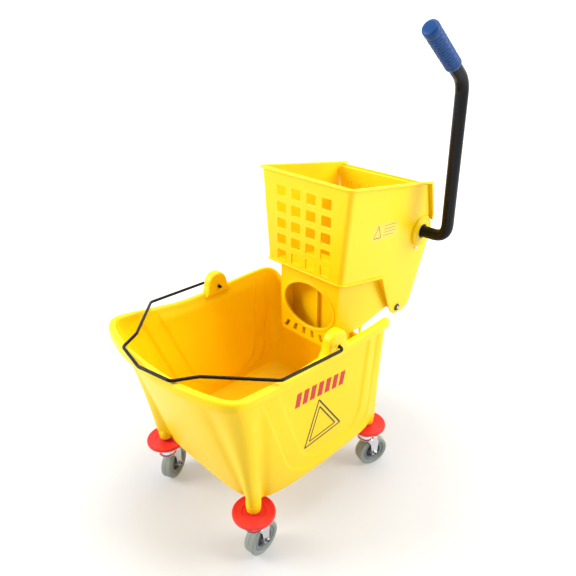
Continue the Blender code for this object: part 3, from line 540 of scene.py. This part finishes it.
def build_bucket():
    body = loft(bucket_rings())
    place(body, "bucket_moulding", LOOK["yellow"], "bucket", ["bucket_shell"], "bucket_yellow", smooth=50)
    for side, word in ((-1, "left"), (1, "right")):
        place(ear(side), "bail_ear_" + word, LOOK["yellow"], "bucket", slot="bucket_yellow", smooth=45)
    for name, x, y, _ in CASTERS:
        inward = -math.copysign(1, x)
        spots = [(0, 0, 0.1078, 0.0112), (0, 0, 0.1079, 0.0126), (0, 0, 0.109, 0.0134), (0, 0, 0.115, 0.0142),
                 (0, 0, 0.121, 0.0146), (0.002 * inward, 0, 0.1214, 0.01)]
        if y < 0:
            spots[-1:] = [(0.001 * inward, 0.001, 0.128, 0.0148), (0.003 * inward, 0.004, 0.14, 0.012)]
        socket = loft([circle((x + dx, y + dy, z), (0, 0, 1), r, 48) for dx, dy, z, r in spots])
        place(socket, "caster_socket_" + name, LOOK["yellow"], "bucket", slot="bucket_yellow")
        stem = [(0, 0.075), (0.0125, 0.075), (0.013, 0.0755), (0.013, 0.0775), (0.0125, 0.078),
                (0.0085, 0.0788), (0.0085, 0.0868), (0.008, 0.0872), (0.0055, 0.0873), (0.0055, 0.104),
                (0, 0.104)]
        place(turned((x, y, 0), (0, 0, 1), stem, 40), "stem_" + name, LOOK["steel"], "bucket",
              ["caster_stem_" + name], "stem_steel")
        nut = turned((x, y, 0), (0, 0, 1),
                     [(0, 0.1034), (0.0092, 0.1034), (0.0098, 0.104), (0.0098, 0.1076), (0, 0.1076)], 6)
        place(nut, "stem_nut_" + name, LOOK["zinc"], "bucket", slot="stem_steel", smooth=20)


def wall_x(y, z):
    """The outer face of the bucket's right side at a place, found along the loft between base and rim."""
    found = None
    for a, b, c, d in zip(BASE, WALL_TOP, BASE[1:] + BASE[:1], WALL_TOP[1:] + WALL_TOP[:1]):
        if a.x < 0.08 and b.x < 0.08:
            continue
        s = (z - WALL_LOW) / (rim_height(b) - LIP_WALL - WALL_LOW)
        p, q = a.lerp(b, s), c.lerp(d, s)
        if min(p.y, q.y) <= y <= max(p.y, q.y) and p.x > 0.1:
            t = (y - p.y) / (q.y - p.y) if abs(q.y - p.y) > 1e-9 else 0
            p = p.lerp(q, t)
            found = p.x + bulge(p, z, Vector((-1.0, 0.0)))
    return found


def decal(name, quads, look):
    """Printed patches that lie on the bucket's right wall, each a (y, z) quad."""
    points, faces = [], []
    for quad in quads:
        corners = [Vector(c) for c in quad]
        n = max(2, int((corners[1] - corners[0]).length / DECAL_CELL))
        m = max(1, int((corners[3] - corners[0]).length / DECAL_CELL))
        base = len(points)
        for i in range(n + 1):
            for j in range(m + 1):
                low, high = corners[0].lerp(corners[1], i / n), corners[3].lerp(corners[2], i / n)
                c = low.lerp(high, j / m)
                points.append(Vector((wall_x(c.x, c.y) + DECAL_LIFT, c.x, c.y)))
        for i in range(n):
            for j in range(m):
                k = base + i * (m + 1) + j
                faces.append((k, k + m + 1, k + m + 2, k + 1))
    obj = mesh_object(name, points, faces)
    for polygon in obj.data.polygons:
        if polygon.normal.x < 0:
            obj.data.flip_normals()
            break
    return place(obj, name, look, "bucket", slot="bucket_yellow", smooth=60)


def stroke(a, b, width):
    """A straight line as a thin quad."""
    a, b = Vector(a), Vector(b)
    side = (b - a).normalized().orthogonal() * width / 2
    return [tuple(a - side), tuple(b - side), tuple(b + side), tuple(a + side)]


def build_markings():
    # Seven plain slanted bars.
    start, end, high = Vector((-0.093, 0.3085)), Vector((0.05, 0.2905)), 0.03
    bars = []
    for i in range(7):
        a, b = start.lerp(end, (i + 0.08) / 7), start.lerp(end, (i + 0.74) / 7)
        bars.append([tuple(a), tuple(b), (b.x + 0.006, b.y + high), (a.x + 0.006, a.y + high)])
    decal("mark_red_bars", bars, LOOK["ink_red"])
    # A plain double triangle, with no figure and no lettering.
    top, left, right = Vector((-0.0235, 0.29)), Vector((-0.059, 0.1915)), Vector((0.043, 0.1965))
    centre = (top + left + right) / 3
    for name, share, width in (("outer", 1.0, 0.0034), ("inner", 0.72, 0.003)):
        t, l, r = (centre + (c - centre) * share for c in (top, left, right))
        decal("mark_triangle_" + name, [stroke(t, l, width), stroke(l, r, width), stroke(r, t, width)],
              LOOK["ink_black"])


# ---- bail ----
def build_bail():
    half = [Vector(p) for p in BAIL_PATH]
    whole = half + [Vector((-p.x, p.y, p.z)) for p in half[-2::-1]]
    place(wire("bail", bend(whole, 0.013, 10), BAIL_R - 0.00005, 8), "bail_wire", LOOK["black_wire"], "bail",
          ["bail_handle"], "bail_black")


# ---- casters ----
def two_faced(profile, half):
    """A wheel profile of (radius, depth below the face) with its mirror image on the other face."""
    one = [(r, -half + d) for r, d in profile]
    return one + [(r, -d) for r, d in one[::-1]]


def build_caster(name, x, y, degrees):
    angle = math.radians(degrees)
    axle = Vector((math.cos(angle), math.sin(angle), 0))
    trail = Vector((-math.sin(angle), math.cos(angle), 0))
    stem, up = Vector((x, y, 0)), Vector((0, 0, 1))
    hub_at = stem + TRAIL * trail + AXLE_Z * up
    disc = [(0.0062, 0.088), (0.012, 0.0878), (0.0126, 0.0884), (0.0132, 0.096), (0.015, 0.0966),
            (0.034, 0.0972), (0.038, 0.0968), (0.0402, 0.0972), (0.0414, 0.0986), (0.0417, 0.1005),
            (0.0414, 0.1025), (0.0404, 0.104), (0.0388, 0.1046), (0.0372, 0.1043), (0.0355, 0.1036),
            (0.025, 0.1032), (0.0232, 0.103), (0.0226, 0.1022), (0.0215, 0.1019), (0.0062, 0.1018)]
    place(turned(stem, up, disc, 96), "bumper_" + name, LOOK["red"], "bumper_" + name,
          ["bumper_disc_" + name], "bumper_red", smooth=35)

    cap = [(0, 0.064), (0.019, 0.064), (0.0202, 0.0647), (0.0204, 0.0658), (0.0196, 0.0668),
           (0.0165, 0.0674), (0.0157, 0.07), (0.015, 0.0738), (0.014, 0.0745), (0, 0.0745)]
    crown = turned(stem, up, cap, 48)
    half = WHEEL_W / 2
    foot = [(TRAIL + 0.0072 * math.cos(a), AXLE_Z + 0.0072 * math.sin(a))
            for a in (-math.pi * i / 16 for i in range(17))]
    leg_line = [(-0.006, 0.066), (0.02, 0.066), (TRAIL + 0.0092, 0.05)] + foot + [(TRAIL - 0.0115, 0.047)]
    legs = [soften_edges(loft([[stem + s * a * axle + t * trail + z * up for t, z in leg_line]
                               for a in (half + 0.0018, half + 0.0042)]), 0.0005) for s in (-1, 1)]
    place(joined([smoothed(crown)] + legs), "fork_" + name, LOOK["zinc"], "caster_" + name,
          ["caster_fork_" + name], "fork_zinc", smooth=0)
    head = [(0, half + 0.0046), (0.0052, half + 0.0046), (0.0055, half + 0.0052), (0.0055, half + 0.0072),
            (0.0046, half + 0.008), (0, half + 0.008)]
    stub = [(0, half + 0.0072), (0.003, half + 0.0072), (0.003, half + 0.0086), (0.0025, half + 0.009),
            (0, half + 0.009)]
    for s, word in ((-1, "head"), (1, "nut")):
        place(turned(hub_at, s * axle, head, 6), "axle_%s_%s" % (word, name), LOOK["steel"], "caster_" + name,
              ["axle_bolt_" + name] if s < 0 else (), "bolt_steel", smooth=20)
        place(turned(hub_at, s * axle, stub, 24), "axle_end_%s_%s" % (word, name), LOOK["recess_shade_and_axle_ends"],
              "caster_" + name, slot="bolt_steel")

    rim, edge, steps = 0.7 * WHEEL_R, WHEEL_R - 0.0036, 6
    tyre = [(rim, 0.0034), (rim + 0.001, 0.001), (rim + 0.0024, 0.0002), (rim + 0.004, 0.0),
            (rim + 0.0044, 0.0007), (rim + 0.0052, 0.0007), (rim + 0.0056, 0.0), (edge, 0.0)]
    for k in range(1, steps + 1):
        a = math.pi / 2 * k / steps
        tyre.append((edge + 0.0035 * math.sin(a), 0.0035 * (1 - math.cos(a))))
    tyre += [(WHEEL_R - 0.0001, half - 0.004), (WHEEL_R, half - 0.0009), (WHEEL_R - 0.0006, half - 0.0004)]
    place(turned(hub_at, axle, two_faced(tyre, half), 96), "tyre_tread_" + name, LOOK["tyre"],
          "wheel_" + name, ["tyre_" + name], "tyre_grey", smooth=35)
    web = [(AXLE_R + 0.0003, 0.0005), (0.0076, 0.0005), (0.0082, 0.001), (0.0086, 0.0074), (0.01, 0.0078),
           (0.0172, 0.0078), (0.018, 0.0072), (0.0184, 0.0024), (0.019, 0.0018), (0.0215, 0.0018),
           (0.022, 0.0024), (0.0228, 0.0024), (0.0233, 0.0018), (rim - 0.0003, 0.0024)]
    place(turned(hub_at, axle, two_faced(web, half), 72), "wheel_web_" + name, LOOK["hub"], "wheel_" + name,
          ["wheel_hub_" + name], "hub_grey", smooth=30)
    for s, word in ((-1, "inner"), (1, "outer")):
        # A thin near-black disc on the floor of each hub recess: painted shade for the deep recess.
        recess_shade_disc = [(0.0088, half - 0.0076), (0.0178, half - 0.0076), (0.0178, half - 0.007),
                (0.0088, half - 0.007)]
        place(turned(hub_at, s * axle, recess_shade_disc, 48), "wheel_recess_shade_%s_%s" % (word, name), LOOK["recess_shade_and_axle_ends"],
              "wheel_" + name, slot="hub_grey")


# ---- wringer ----
def side_x(z):
    """The outer side face of the wringer, which flares upwards."""
    return SIDE_AT_ZERO + SIDE_FLARE * z


def both_sides(line, inner, outer):
    """The same plate on each side face."""
    return [prism(line, lambda z: s * (side_x(z) + inner), lambda z: s * (side_x(z) + outer))
            for s in (-1, 1)]


def across(line, sink):
    """A plate from side to side, its ends sunk into the sides."""
    return prism(line, lambda z: -side_x(z) + sink, lambda z: side_x(z) - sink)


def skirt_side(s):
    line = [(0.125, 0.456), (0.125, SKIRT_LOW + 0.001), (0.1622, SKIRT_LOW + 0.001), (0.1652, 0.293),
            (0.1652, SLOT_TOP), (0.2, SLOT_TOP), (0.2012, 0.2965), (0.2065, 0.2965), (0.21, SLOT_TOP),
            (0.296, 0.3305), (0.304, 0.3305), (0.2455, 0.429)]
    return soften_edges(prism(line, s * SKIRT_X, s * (SKIRT_X - 0.0035)), 0.0006)


def band(path, out, inner, height):
    """A moulded bead of rounded section along a path of (place, outward) pairs."""
    h, o = height / 2, out
    section = [(-inner, -h), (o * 0.7, -h), (o * 0.92, -h * 0.6), (o, 0), (o * 0.92, h * 0.6), (o * 0.7, h),
               (-inner, h)]
    rings = [[place_at + side * a + Vector((0, 0, b)) for a, b in section] for place_at, side in path]
    return smoothed(loft(rings), 60)


def rim_path(y_back, z_back, z_front):
    """The wringer's outline in plan, from the back right round the front to the back left."""
    def height(y):
        return z_front + (z_back - z_front) * (y - HOPPER_Y) / (y_back - HOPPER_Y)

    right = []
    for i in range(9):
        y = y_back + (HOPPER_Y + CORNER_R - y_back) * i / 8
        right.append((Vector((side_x(height(y)), y, height(y))), Vector((1, 0, 0))))
    for i in range(1, 9):
        a = math.pi / 2 * i / 8
        z = height(HOPPER_Y + CORNER_R * (1 - math.sin(a)))
        turn = Vector((math.cos(a), -math.sin(a), 0))
        right.append((Vector((side_x(z) - CORNER_R, HOPPER_Y + CORNER_R, z)) + CORNER_R * turn, turn))
    return right + [(Vector((-p.x, p.y, p.z)), Vector((-n.x, n.y, 0))) for p, n in right[::-1]]


def corner_strip(s):
    """The rounded vertical corner between the grille and a side."""
    rings = []
    for i in range(5):
        z = HOPPER_LOW + (FRONT_TOP - HOPPER_LOW) * i / 4
        centre = Vector((side_x(z) - CORNER_R, HOPPER_Y + CORNER_R, z))
        turns = [math.pi / 2 * k / 10 for k in range(11)]
        outer = [centre + CORNER_R * Vector((math.sin(a), -math.cos(a), 0)) for a in turns]
        inner = [centre + (CORNER_R - PANEL) * Vector((math.sin(a), -math.cos(a), 0)) for a in turns[::-1]]
        rings.append([Vector((s * p.x, p.y, p.z)) for p in outer + inner])
    return smoothed(loft(rings), 45)


def ellipse_ring(a, b, y, count):
    return [Vector((a * math.cos(t), y, OVAL_Z + b * math.sin(t)))
            for t in (2 * math.pi * i / count for i in range(count))]


def square_ring(cx, cz, y):
    """The rounded outline of one grille hole."""
    w, h = HOLE_W / 2, HOLE_H / 2
    corners = [(cx - w, cz - h), (cx + w, cz - h), (cx + w, cz + h), (cx - w, cz + h)]
    return [Vector((px, y, pz)) for px, pz in rounded_corners(corners, HOLE_CORNER, 4)]


def skirt_front():
    """The skirt's front plate with its beaded oval and the fan of drain slots below it."""
    count = 96

    def frame_ring(y):
        ring = []
        for t in (2 * math.pi * i / count for i in range(count)):
            c, n = math.cos(t) * OVAL_A, math.sin(t) * OVAL_B
            room = ((0.4565 if n > 0 else SKIRT_LOW) - OVAL_Z) / n if abs(n) > 1e-6 else 1e9
            k = min(SKIRT_X / abs(c) if abs(c) > 1e-6 else 1e9, room)
            ring.append(Vector((c * k, y, OVAL_Z + n * k)))
        return ring

    def oval(grow, y):
        return ellipse_ring(OVAL_A + grow, OVAL_B + grow, y, count)

    y = SKIRT_Y
    bead = [(0.0072, 0), (0.0064, -0.0004), (0.0058, -0.0014), (0.0046, -0.002), (0.0014, -0.002),
            (0.0004, -0.0014), (0.0, -0.0004), (0.0, 0.0036)]
    rings = [frame_ring(y + 0.0036), frame_ring(y + 0.0006), frame_ring(y)]
    plate = loft(rings + [oval(grow, y + lift) for grow, lift in bead], closed=True)
    slots = []
    for i in range(6):
        x = (i - 2.5) * 0.0245
        quad = [(x * 1.1 - 0.005, 0.294), (x * 1.1 + 0.005, 0.294), (x * 0.94 + 0.005, 0.312),
                (x * 0.94 - 0.005, 0.312)]
        slots.append(loft([[Vector((u, v, w)) for u, w in quad] for v in (y - 0.01, y + 0.012)]))
    return smoothed(cut_away(plate, slots), 30)


def grille():
    """The front plate with its twenty square holes."""
    line = [(FRONT_Y - 0.002, FRONT_BOTTOM - 0.002), (FRONT_Y + 0.002, FRONT_BOTTOM - 0.002),
            (FRONT_Y + 0.002, FRONT_TOP), (FRONT_Y - 0.002, FRONT_TOP)]
    cuts = []
    for col in range(GRID_COLS):
        for row in range(GRID_ROWS):
            x, z = (col - (GRID_COLS - 1) / 2) * GRID_DX, GRID_LOW_Z + row * GRID_DZ
            cuts.append(loft([square_ring(x, z, y) for y in (FRONT_Y - 0.01, FRONT_Y + 0.015)]))
    return soften_edges(cut_away(across(line, CORNER_R), cuts), 0.001)


def build_wringer():
    side_line = [(HOPPER_Y + CORNER_R, z) if y == HOPPER_Y else (y, z) for y, z in SIDE_LINE]
    side_line = rounded_corners(side_line, 0.005, 3)
    flat = both_sides(side_line, -PANEL, 0.0)
    flat += both_sides([(0.3655, 0.612), (0.3725, 0.6125), (0.4005, 0.5398), (0.403, 0.523), (0.3965, 0.523),
                        (0.3935, 0.539)], -0.0024, 0.0075)
    flat += [across([(0.1, 0.461), (0.1, 0.4572), (0.245, 0.4262), (0.247, 0.43)], 0.0012),
             across([(0.244, 0.4295), (0.308, 0.324), (0.3112, 0.3258), (0.2478, 0.4305)], 0.001),
             across([(0.3555, 0.583), (0.3602, 0.583), (0.3602, 0.6135), (0.3555, 0.614)], 0.0018),
             block((-0.0795, 0.0795), (SKIRT_BACK - 0.0075, SKIRT_BACK - 0.004), (SKIRT_LOW + 0.0006, 0.446)),
             block((-0.0792, 0.0792), (SKIRT_Y + 0.001, SKIRT_BACK - 0.0045),
                   (SKIRT_LOW + 0.0003, SKIRT_LOW + 0.0038)),
             block((-0.0021, 0.0021), (SKIRT_BACK - 0.016, SKIRT_BACK - 0.005), (SKIRT_LOW + 0.002, 0.444))]
    pieces = [soften_edges(piece, 0.0007) for piece in flat]
    pieces += [skirt_side(-1), skirt_side(1), skirt_front(), grille(), corner_strip(-1), corner_strip(1)]
    pieces.append(band(rim_path(0.3735, 0.6125, 0.6564), 0.0062, 0.0022, 0.0048))
    pieces.append(band(rim_path(0.244, 0.4292, 0.4598), 0.0034, 0.0022, 0.0046))
    bead = block((-0.0812, 0.0812), (SKIRT_Y - 0.0022, SKIRT_Y + 0.002), (0.442, 0.4475))
    pieces.append(soften_edges(bead, 0.0012))
    for s, reach in ((-1, 0.0128), (1, 0.0161)):
        ring = [(reach, 0.0985), (BOSS_R, 0.0985), (BOSS_R, BOSS_X - 0.0022),
                (BOSS_R - 0.0006, BOSS_X - 0.0008), (BOSS_R - 0.002, BOSS_X), (BOSS_R - 0.005, BOSS_X),
                (BOSS_R - 0.0062, BOSS_X - 0.001), (reach + 0.0062, BOSS_X - 0.001),
                (reach + 0.005, BOSS_X), (reach, BOSS_X)]
        pieces.append(smoothed(turned(SHAFT_AT, (s, 0, 0), ring, 72), 35))
    place(joined(pieces), "wringer_moulding", LOOK["yellow_wringer"], "wringer", ["wringer_housing"],
          "wringer_yellow", smooth=0)

    rod = turned(ROD_AT, (1, 0, 0), [(0, -0.0962), (0.0032, -0.0962), (ROD_R, -0.0952),
                                     (ROD_R, 0.0952), (0.0032, 0.0962), (0, 0.0962)], 32)
    place(rod, "hinge_rod", LOOK["steel"], "wringer", ["pivot_rod"], "stem_steel")
    for s, side in ((-1, "left"), (1, "right")):
        cap = [(0.0043, 0.0926), (0.0085, 0.0926), (0.0085, 0.0932), (0.0078, 0.0943), (0.006, 0.0948),
               (0.0043, 0.0948)]
        place(turned(ROD_AT, (s, 0, 0), cap, 40), "rod_push_cap_" + side, LOOK["nylon_black"], "wringer",
              ["rod_cap_" + side], "nylon_black")
        inner, outer = (SHAFT_R + 0.0003, 0.0125) if s < 0 else (LEVER_R + 0.0003, 0.0158)
        bush = [(inner, 0.0975), (outer, 0.0975), (outer, BOSS_X - 0.0003), (outer - 0.0005, BOSS_X + 0.0002),
                (inner, BOSS_X + 0.0002)]
        place(turned(SHAFT_AT, (s, 0, 0), bush, 48), "bush_" + side, LOOK["nylon_black"], "wringer",
              ["shaft_bush_" + side], "nylon_black")
        face = side_x(SCREW_Z) + 0.0003
        head = [(0, face), (0.005, face), (0.005, face + 0.001), (0.0042, face + 0.0022),
                (0.0022, face + 0.0028), (0, face + 0.0029)]
        screw = turned((0, SCREW_Y, SCREW_Z), (s, 0, 0), head, 40)
        slots = [block((s * (face + 0.0012) - 0.002, s * (face + 0.0012) + 0.0035),
                       (SCREW_Y - a, SCREW_Y + a), (SCREW_Z - b, SCREW_Z + b))
                 for a, b in ((0.003, 0.0006), (0.0006, 0.003))]
        for cut in slots:
            cut.data.transform(Matrix.Translation((s * 0.0022, 0, 0)))
        place(cut_away(screw, slots), "screw_" + side, LOOK["zinc"], "wringer", ["housing_screw_" + side],
              "bolt_steel")


def build_label():
    """A small plain label on the wringer's right side: a pale patch, a bare triangle and plain rules."""
    def on_side(y, z, lift):
        return Vector((side_x(z) + lift, y, z))

    def patch(name, quads, look, lift):
        points, faces = [], []
        for quad in quads:
            faces.append(tuple(range(len(points), len(points) + 4)))
            points += [on_side(y, z, lift) for y, z in quad]
        obj = mesh_object(name, points, faces)
        if obj.data.polygons[0].normal.x < 0:
            obj.data.flip_normals()
        return place(obj, name, look, "wringer", slot="wringer_yellow")

    y, z = LABEL_Y, LABEL_Z
    plain = [(y - 0.044, z - 0.018), (y + 0.044, z - 0.026), (y + 0.044, z + 0.01), (y - 0.044, z + 0.018)]
    patch("label_patch", [plain], LOOK["label"], LABEL_LIFT)
    top, left, right = (y - 0.026, z + 0.013), (y - 0.038, z - 0.012), (y - 0.014, z - 0.015)
    edges = [stroke(a, b, 0.0016) for a, b in ((top, left), (left, right), (right, top))]
    patch("label_triangle", edges, LOOK["ink_black"], INK_LIFT)
    rules = [stroke((y - 0.006, z + 0.008 - 0.007 * k),
                    (y + 0.036 - 0.006 * (k % 2), z + 0.004 - 0.007 * k), 0.001) for k in range(4)]
    patch("label_rules", rules, LOOK["ink_black"], INK_LIFT)


# ---- press plate and lever ----
def tilted(angle, up, back=0.0):
    """A (y, z) point on a plane that leans back from the hinge rod."""
    return (ROD_Y + up * math.sin(angle) + back * math.cos(angle),
            ROD_Z + up * math.cos(angle) - back * math.sin(angle))


def on_plate(up, back=0.0):
    return tilted(PLATE_TILT, up, back)


def build_press_plate():
    """The sloping plate: its slab, hinge tube, two wedge ribs, top bar and seven front ribs."""
    long = (PLATE_TOP - ROD_Z) / math.cos(PLATE_TILT)
    t = PLATE_T / 2
    slab_line = [on_plate(0.004, -t), on_plate(0.004, t), on_plate(long, t),
                 on_plate(long + 0.002, 0), on_plate(long, -t)]
    slab = prism(slab_line, lambda z: -side_x(z) + 0.0095, lambda z: side_x(z) - 0.0095)
    pieces = [soften_edges(slab, 0.0009)]
    ring = [(ROD_R + 0.0004, -0.08), (0.0082, -0.08), (0.009, -0.0792), (0.009, 0.0792), (0.0082, 0.08),
            (ROD_R + 0.0004, 0.08)]
    pieces.append(smoothed(turned(ROD_AT, (1, 0, 0), ring, 48)))
    for s in (-1, 1):
        line = [on_plate(0.012, 0.0), tilted(RIB_TILT, 0.03), tilted(RIB_TILT, 0.16), on_plate(0.175, 0.0)]
        pieces.append(soften_edges(prism(line, s * 0.051, s * 0.059), 0.0006))
    pieces.append(soften_edges(prism([on_plate(0.255, 0.001), on_plate(0.258, 0.0075),
                                      on_plate(0.272, 0.0075), on_plate(0.275, 0.001)], -0.09, 0.09), 0.0008))
    for i in range(7):
        x = (i - 3) * 0.024
        line = [on_plate(0.13, -t + 0.001), on_plate(0.132, -t - 0.0022),
                on_plate(0.262, -t - 0.0022), on_plate(0.266, -t + 0.001)]
        pieces.append(soften_edges(prism(line, x - 0.0022, x + 0.0022), 0.0007))
    place(joined(pieces), "press_plate_moulding", LOOK["yellow_plate"], "press_plate_body", ["press_plate"],
          "plate_yellow", smooth=0)


def build_lever():
    lower = [(0.099, SHAFT_Y, SHAFT_Z), (LEVER_X, SHAFT_Y, SHAFT_Z), (LEVER_X, *LEVER_BEND)]
    curve = bend(lower, 0.045, 20)
    knee = bend([curve[-2], (LEVER_X, *LEVER_BEND), (LEVER_X, *LEVER_TIP)], 0.05, 16)
    path = curve[:-1] + knee[1:]
    tip = Vector((LEVER_X, *LEVER_TIP))
    along = (tip - Vector((LEVER_X, *LEVER_BEND))).normalized()
    path[-1] = tip - 0.006 * along
    place(wire("lever", path, LEVER_R, 14), "lever_bent_tube", LOOK["black_tube"], "lever", ["lever_tube"],
          "lever_black")

    tip -= GRIP_TRIM * along
    start, valley = GRIP_LENGTH, GRIP_R - 0.001
    rings = [(LEVER_R + 0.0002, -start + 0.002), (LEVER_R + 0.0002, -start), (GRIP_R - 0.0004, -start),
             (GRIP_R, -start + 0.0008), (GRIP_R, -start + 0.006)]
    step = (start - 0.02) / GRIP_RIBS
    for i in range(GRIP_RIBS):
        a = -start + 0.008 + i * step
        rings += [(GRIP_R - 0.0001, a), (valley, a + 0.18 * step), (valley, a + 0.38 * step),
                  (GRIP_R - 0.0001, a + 0.55 * step)]
    rings += [(GRIP_R, -0.011), (GRIP_R, -0.0035), (GRIP_R - 0.0008, -0.0012), (GRIP_R - 0.003, -0.0001),
              (GRIP_R - 0.006, 0.0004), (0.0006, 0.0005)]
    count = 72
    loops = []
    for k, (r, d) in enumerate(rings):
        ring = circle(tip + d * along, along, r, count)
        # A slight wave round the finger ribs, held inside the sleeve's own radius.
        if 5 <= k < 5 + 4 * GRIP_RIBS:
            centre = tip + d * along
            waves = [1 + 0.018 * math.sin(12 * 2 * math.pi * i / count + 0.8 * k) for i in range(count)]
            ring = [centre + (p - centre) * wave for p, wave in zip(ring, waves)]
            ring = [centre + (p - centre) * min(1.0, (GRIP_R - 0.00005) / (p - centre).length) for p in ring]
        loops.append(ring)
    place(loft(loops), "grip_sleeve", LOOK["blue"], "lever", ["hand_grip"], "grip_blue", smooth=45)


def round_carried(nodes, look, width=0.0004):
    """CAD nodes that are shown as they are, with softened edges and a real finish."""
    for node in nodes:
        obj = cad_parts[node]
        obj.data.materials.clear()
        obj.data.materials.append(look)
        weld = obj.modifiers.new("weld", "WELD")
        weld.merge_threshold = 0.00001
        edge = obj.modifiers.new("edge", "BEVEL")
        edge.width, edge.segments, edge.limit_method, edge.angle_limit = width, 2, "ANGLE", math.radians(35)


# ---- stage ----
def build_stage():
    floor_look = finish_of("studio_floor", (0.45, 0.45, 0.45), 0.6, second=(0.44, 0.44, 0.44), patch=2,
                           grain=60, grain_depth=0.02)
    shader = floor_look.node_tree.nodes["Principled BSDF"]
    set_inputs(shader, Emission_Color=(1, 0.99, 0.97, 1), Specular_IOR_Level=0.15)
    # The floor glows more with distance from the object, so the backdrop stays white.
    tree = floor_look.node_tree
    where, distance = tree.nodes.new("ShaderNodeTexCoord"), tree.nodes.new("ShaderNodeVectorMath")
    glow = tree.nodes.new("ShaderNodeMapRange")
    distance.operation = "LENGTH"
    set_inputs(glow, From_Min=0.35, From_Max=1.5, To_Min=0.3, To_Max=1.0)
    tree.links.new(where.outputs["Object"], distance.inputs[0])
    tree.links.new(distance.outputs["Value"], glow.inputs["Value"])
    tree.links.new(glow.outputs["Result"], shader.inputs["Emission Strength"])
    points, faces = [], []
    turns = [math.pi / 2 * i / 12 for i in range(1, 13)]
    profile = [(-FLOOR_REACH, 0.0), (SWEEP_START, 0.0)]
    profile += [(SWEEP_START + SWEEP_R * math.sin(a), SWEEP_R - SWEEP_R * math.cos(a)) for a in turns]
    profile.append((SWEEP_START + SWEEP_R, SWEEP_TOP))
    back, side = Vector((-0.7, 0.714, 0)), Vector((0.714, 0.7, 0))
    for d, z in profile:
        points += [back * d + side * reach + Vector((0, 0, z)) for reach in (-FLOOR_REACH, FLOOR_REACH)]
    for i in range(len(profile) - 1):
        faces.append((2 * i, 2 * i + 1, 2 * i + 3, 2 * i + 2))
    floor = mesh_object("floor", points, faces)
    floor.data.materials.append(floor_look)
    floor.data.shade_smooth()
    add_to_scene(floor)

    world = bpy.data.worlds.new("studio")
    bpy.context.scene.world = world
    world.use_nodes = True
    set_inputs(world.node_tree.nodes["Background"], Color=(1, 1, 1, 1), Strength=0.16)

    def softbox(name, place_at, aim, size_x, size_y, power):
        light = bpy.data.lights.new(name, "AREA")
        light.shape, light.size, light.size_y, light.energy = "RECTANGLE", size_x, size_y, power
        obj = bpy.data.objects.new(name, light)
        obj.location = place_at
        obj.rotation_euler = (Vector(aim) - Vector(place_at)).to_track_quat("-Z", "Y").to_euler()
        add_to_scene(obj)

    softbox("key", (-1.7, -1.9, 1.9), (0, 0, 0.35), 1.5, 1.5, 86)
    softbox("top", (0.2, 0.2, 2.8), (0, 0, 0.3), 1.8, 1.8, 58)
    softbox("side", (1.9, 1.4, 1.6), (0, 0, 0.4), 1.3, 1.5, 56)

    camera = bpy.data.cameras.new("camera")
    camera.lens, camera.sensor_width = EYE_LENS, 36.0
    eye = bpy.data.objects.new("camera", camera)
    eye.location = EYE_AT + SHIFT
    a, e = math.radians(EYE_AZIMUTH), math.radians(EYE_ELEVATION)
    back_way = Vector((math.sin(a) * math.cos(e), -math.cos(a) * math.cos(e), math.sin(e)))
    eye.rotation_euler = (-back_way).to_track_quat("-Z", "Y").to_euler()
    add_to_scene(eye)
    bpy.context.scene.camera = eye
    # The default transform greys out a saturated yellow, so colours are shown as they are.
    bpy.context.scene.view_settings.view_transform = "Standard"


def main():
    build_bucket()
    build_markings()
    build_bail()
    for caster in CASTERS:
        build_caster(*caster)
    build_wringer()
    build_label()
    build_press_plate()
    build_lever()
    round_carried(["lever_shaft", "shaft_retainer", "crank_arm_left", "crank_arm_right"], LOOK["crank"])
    round_carried(["crank_roller_left", "crank_roller_right"], LOOK["nylon_white"], 0.0006)
    round_carried(["return_spring"], LOOK["spring"], 0.0001)
    build_stage()


main()
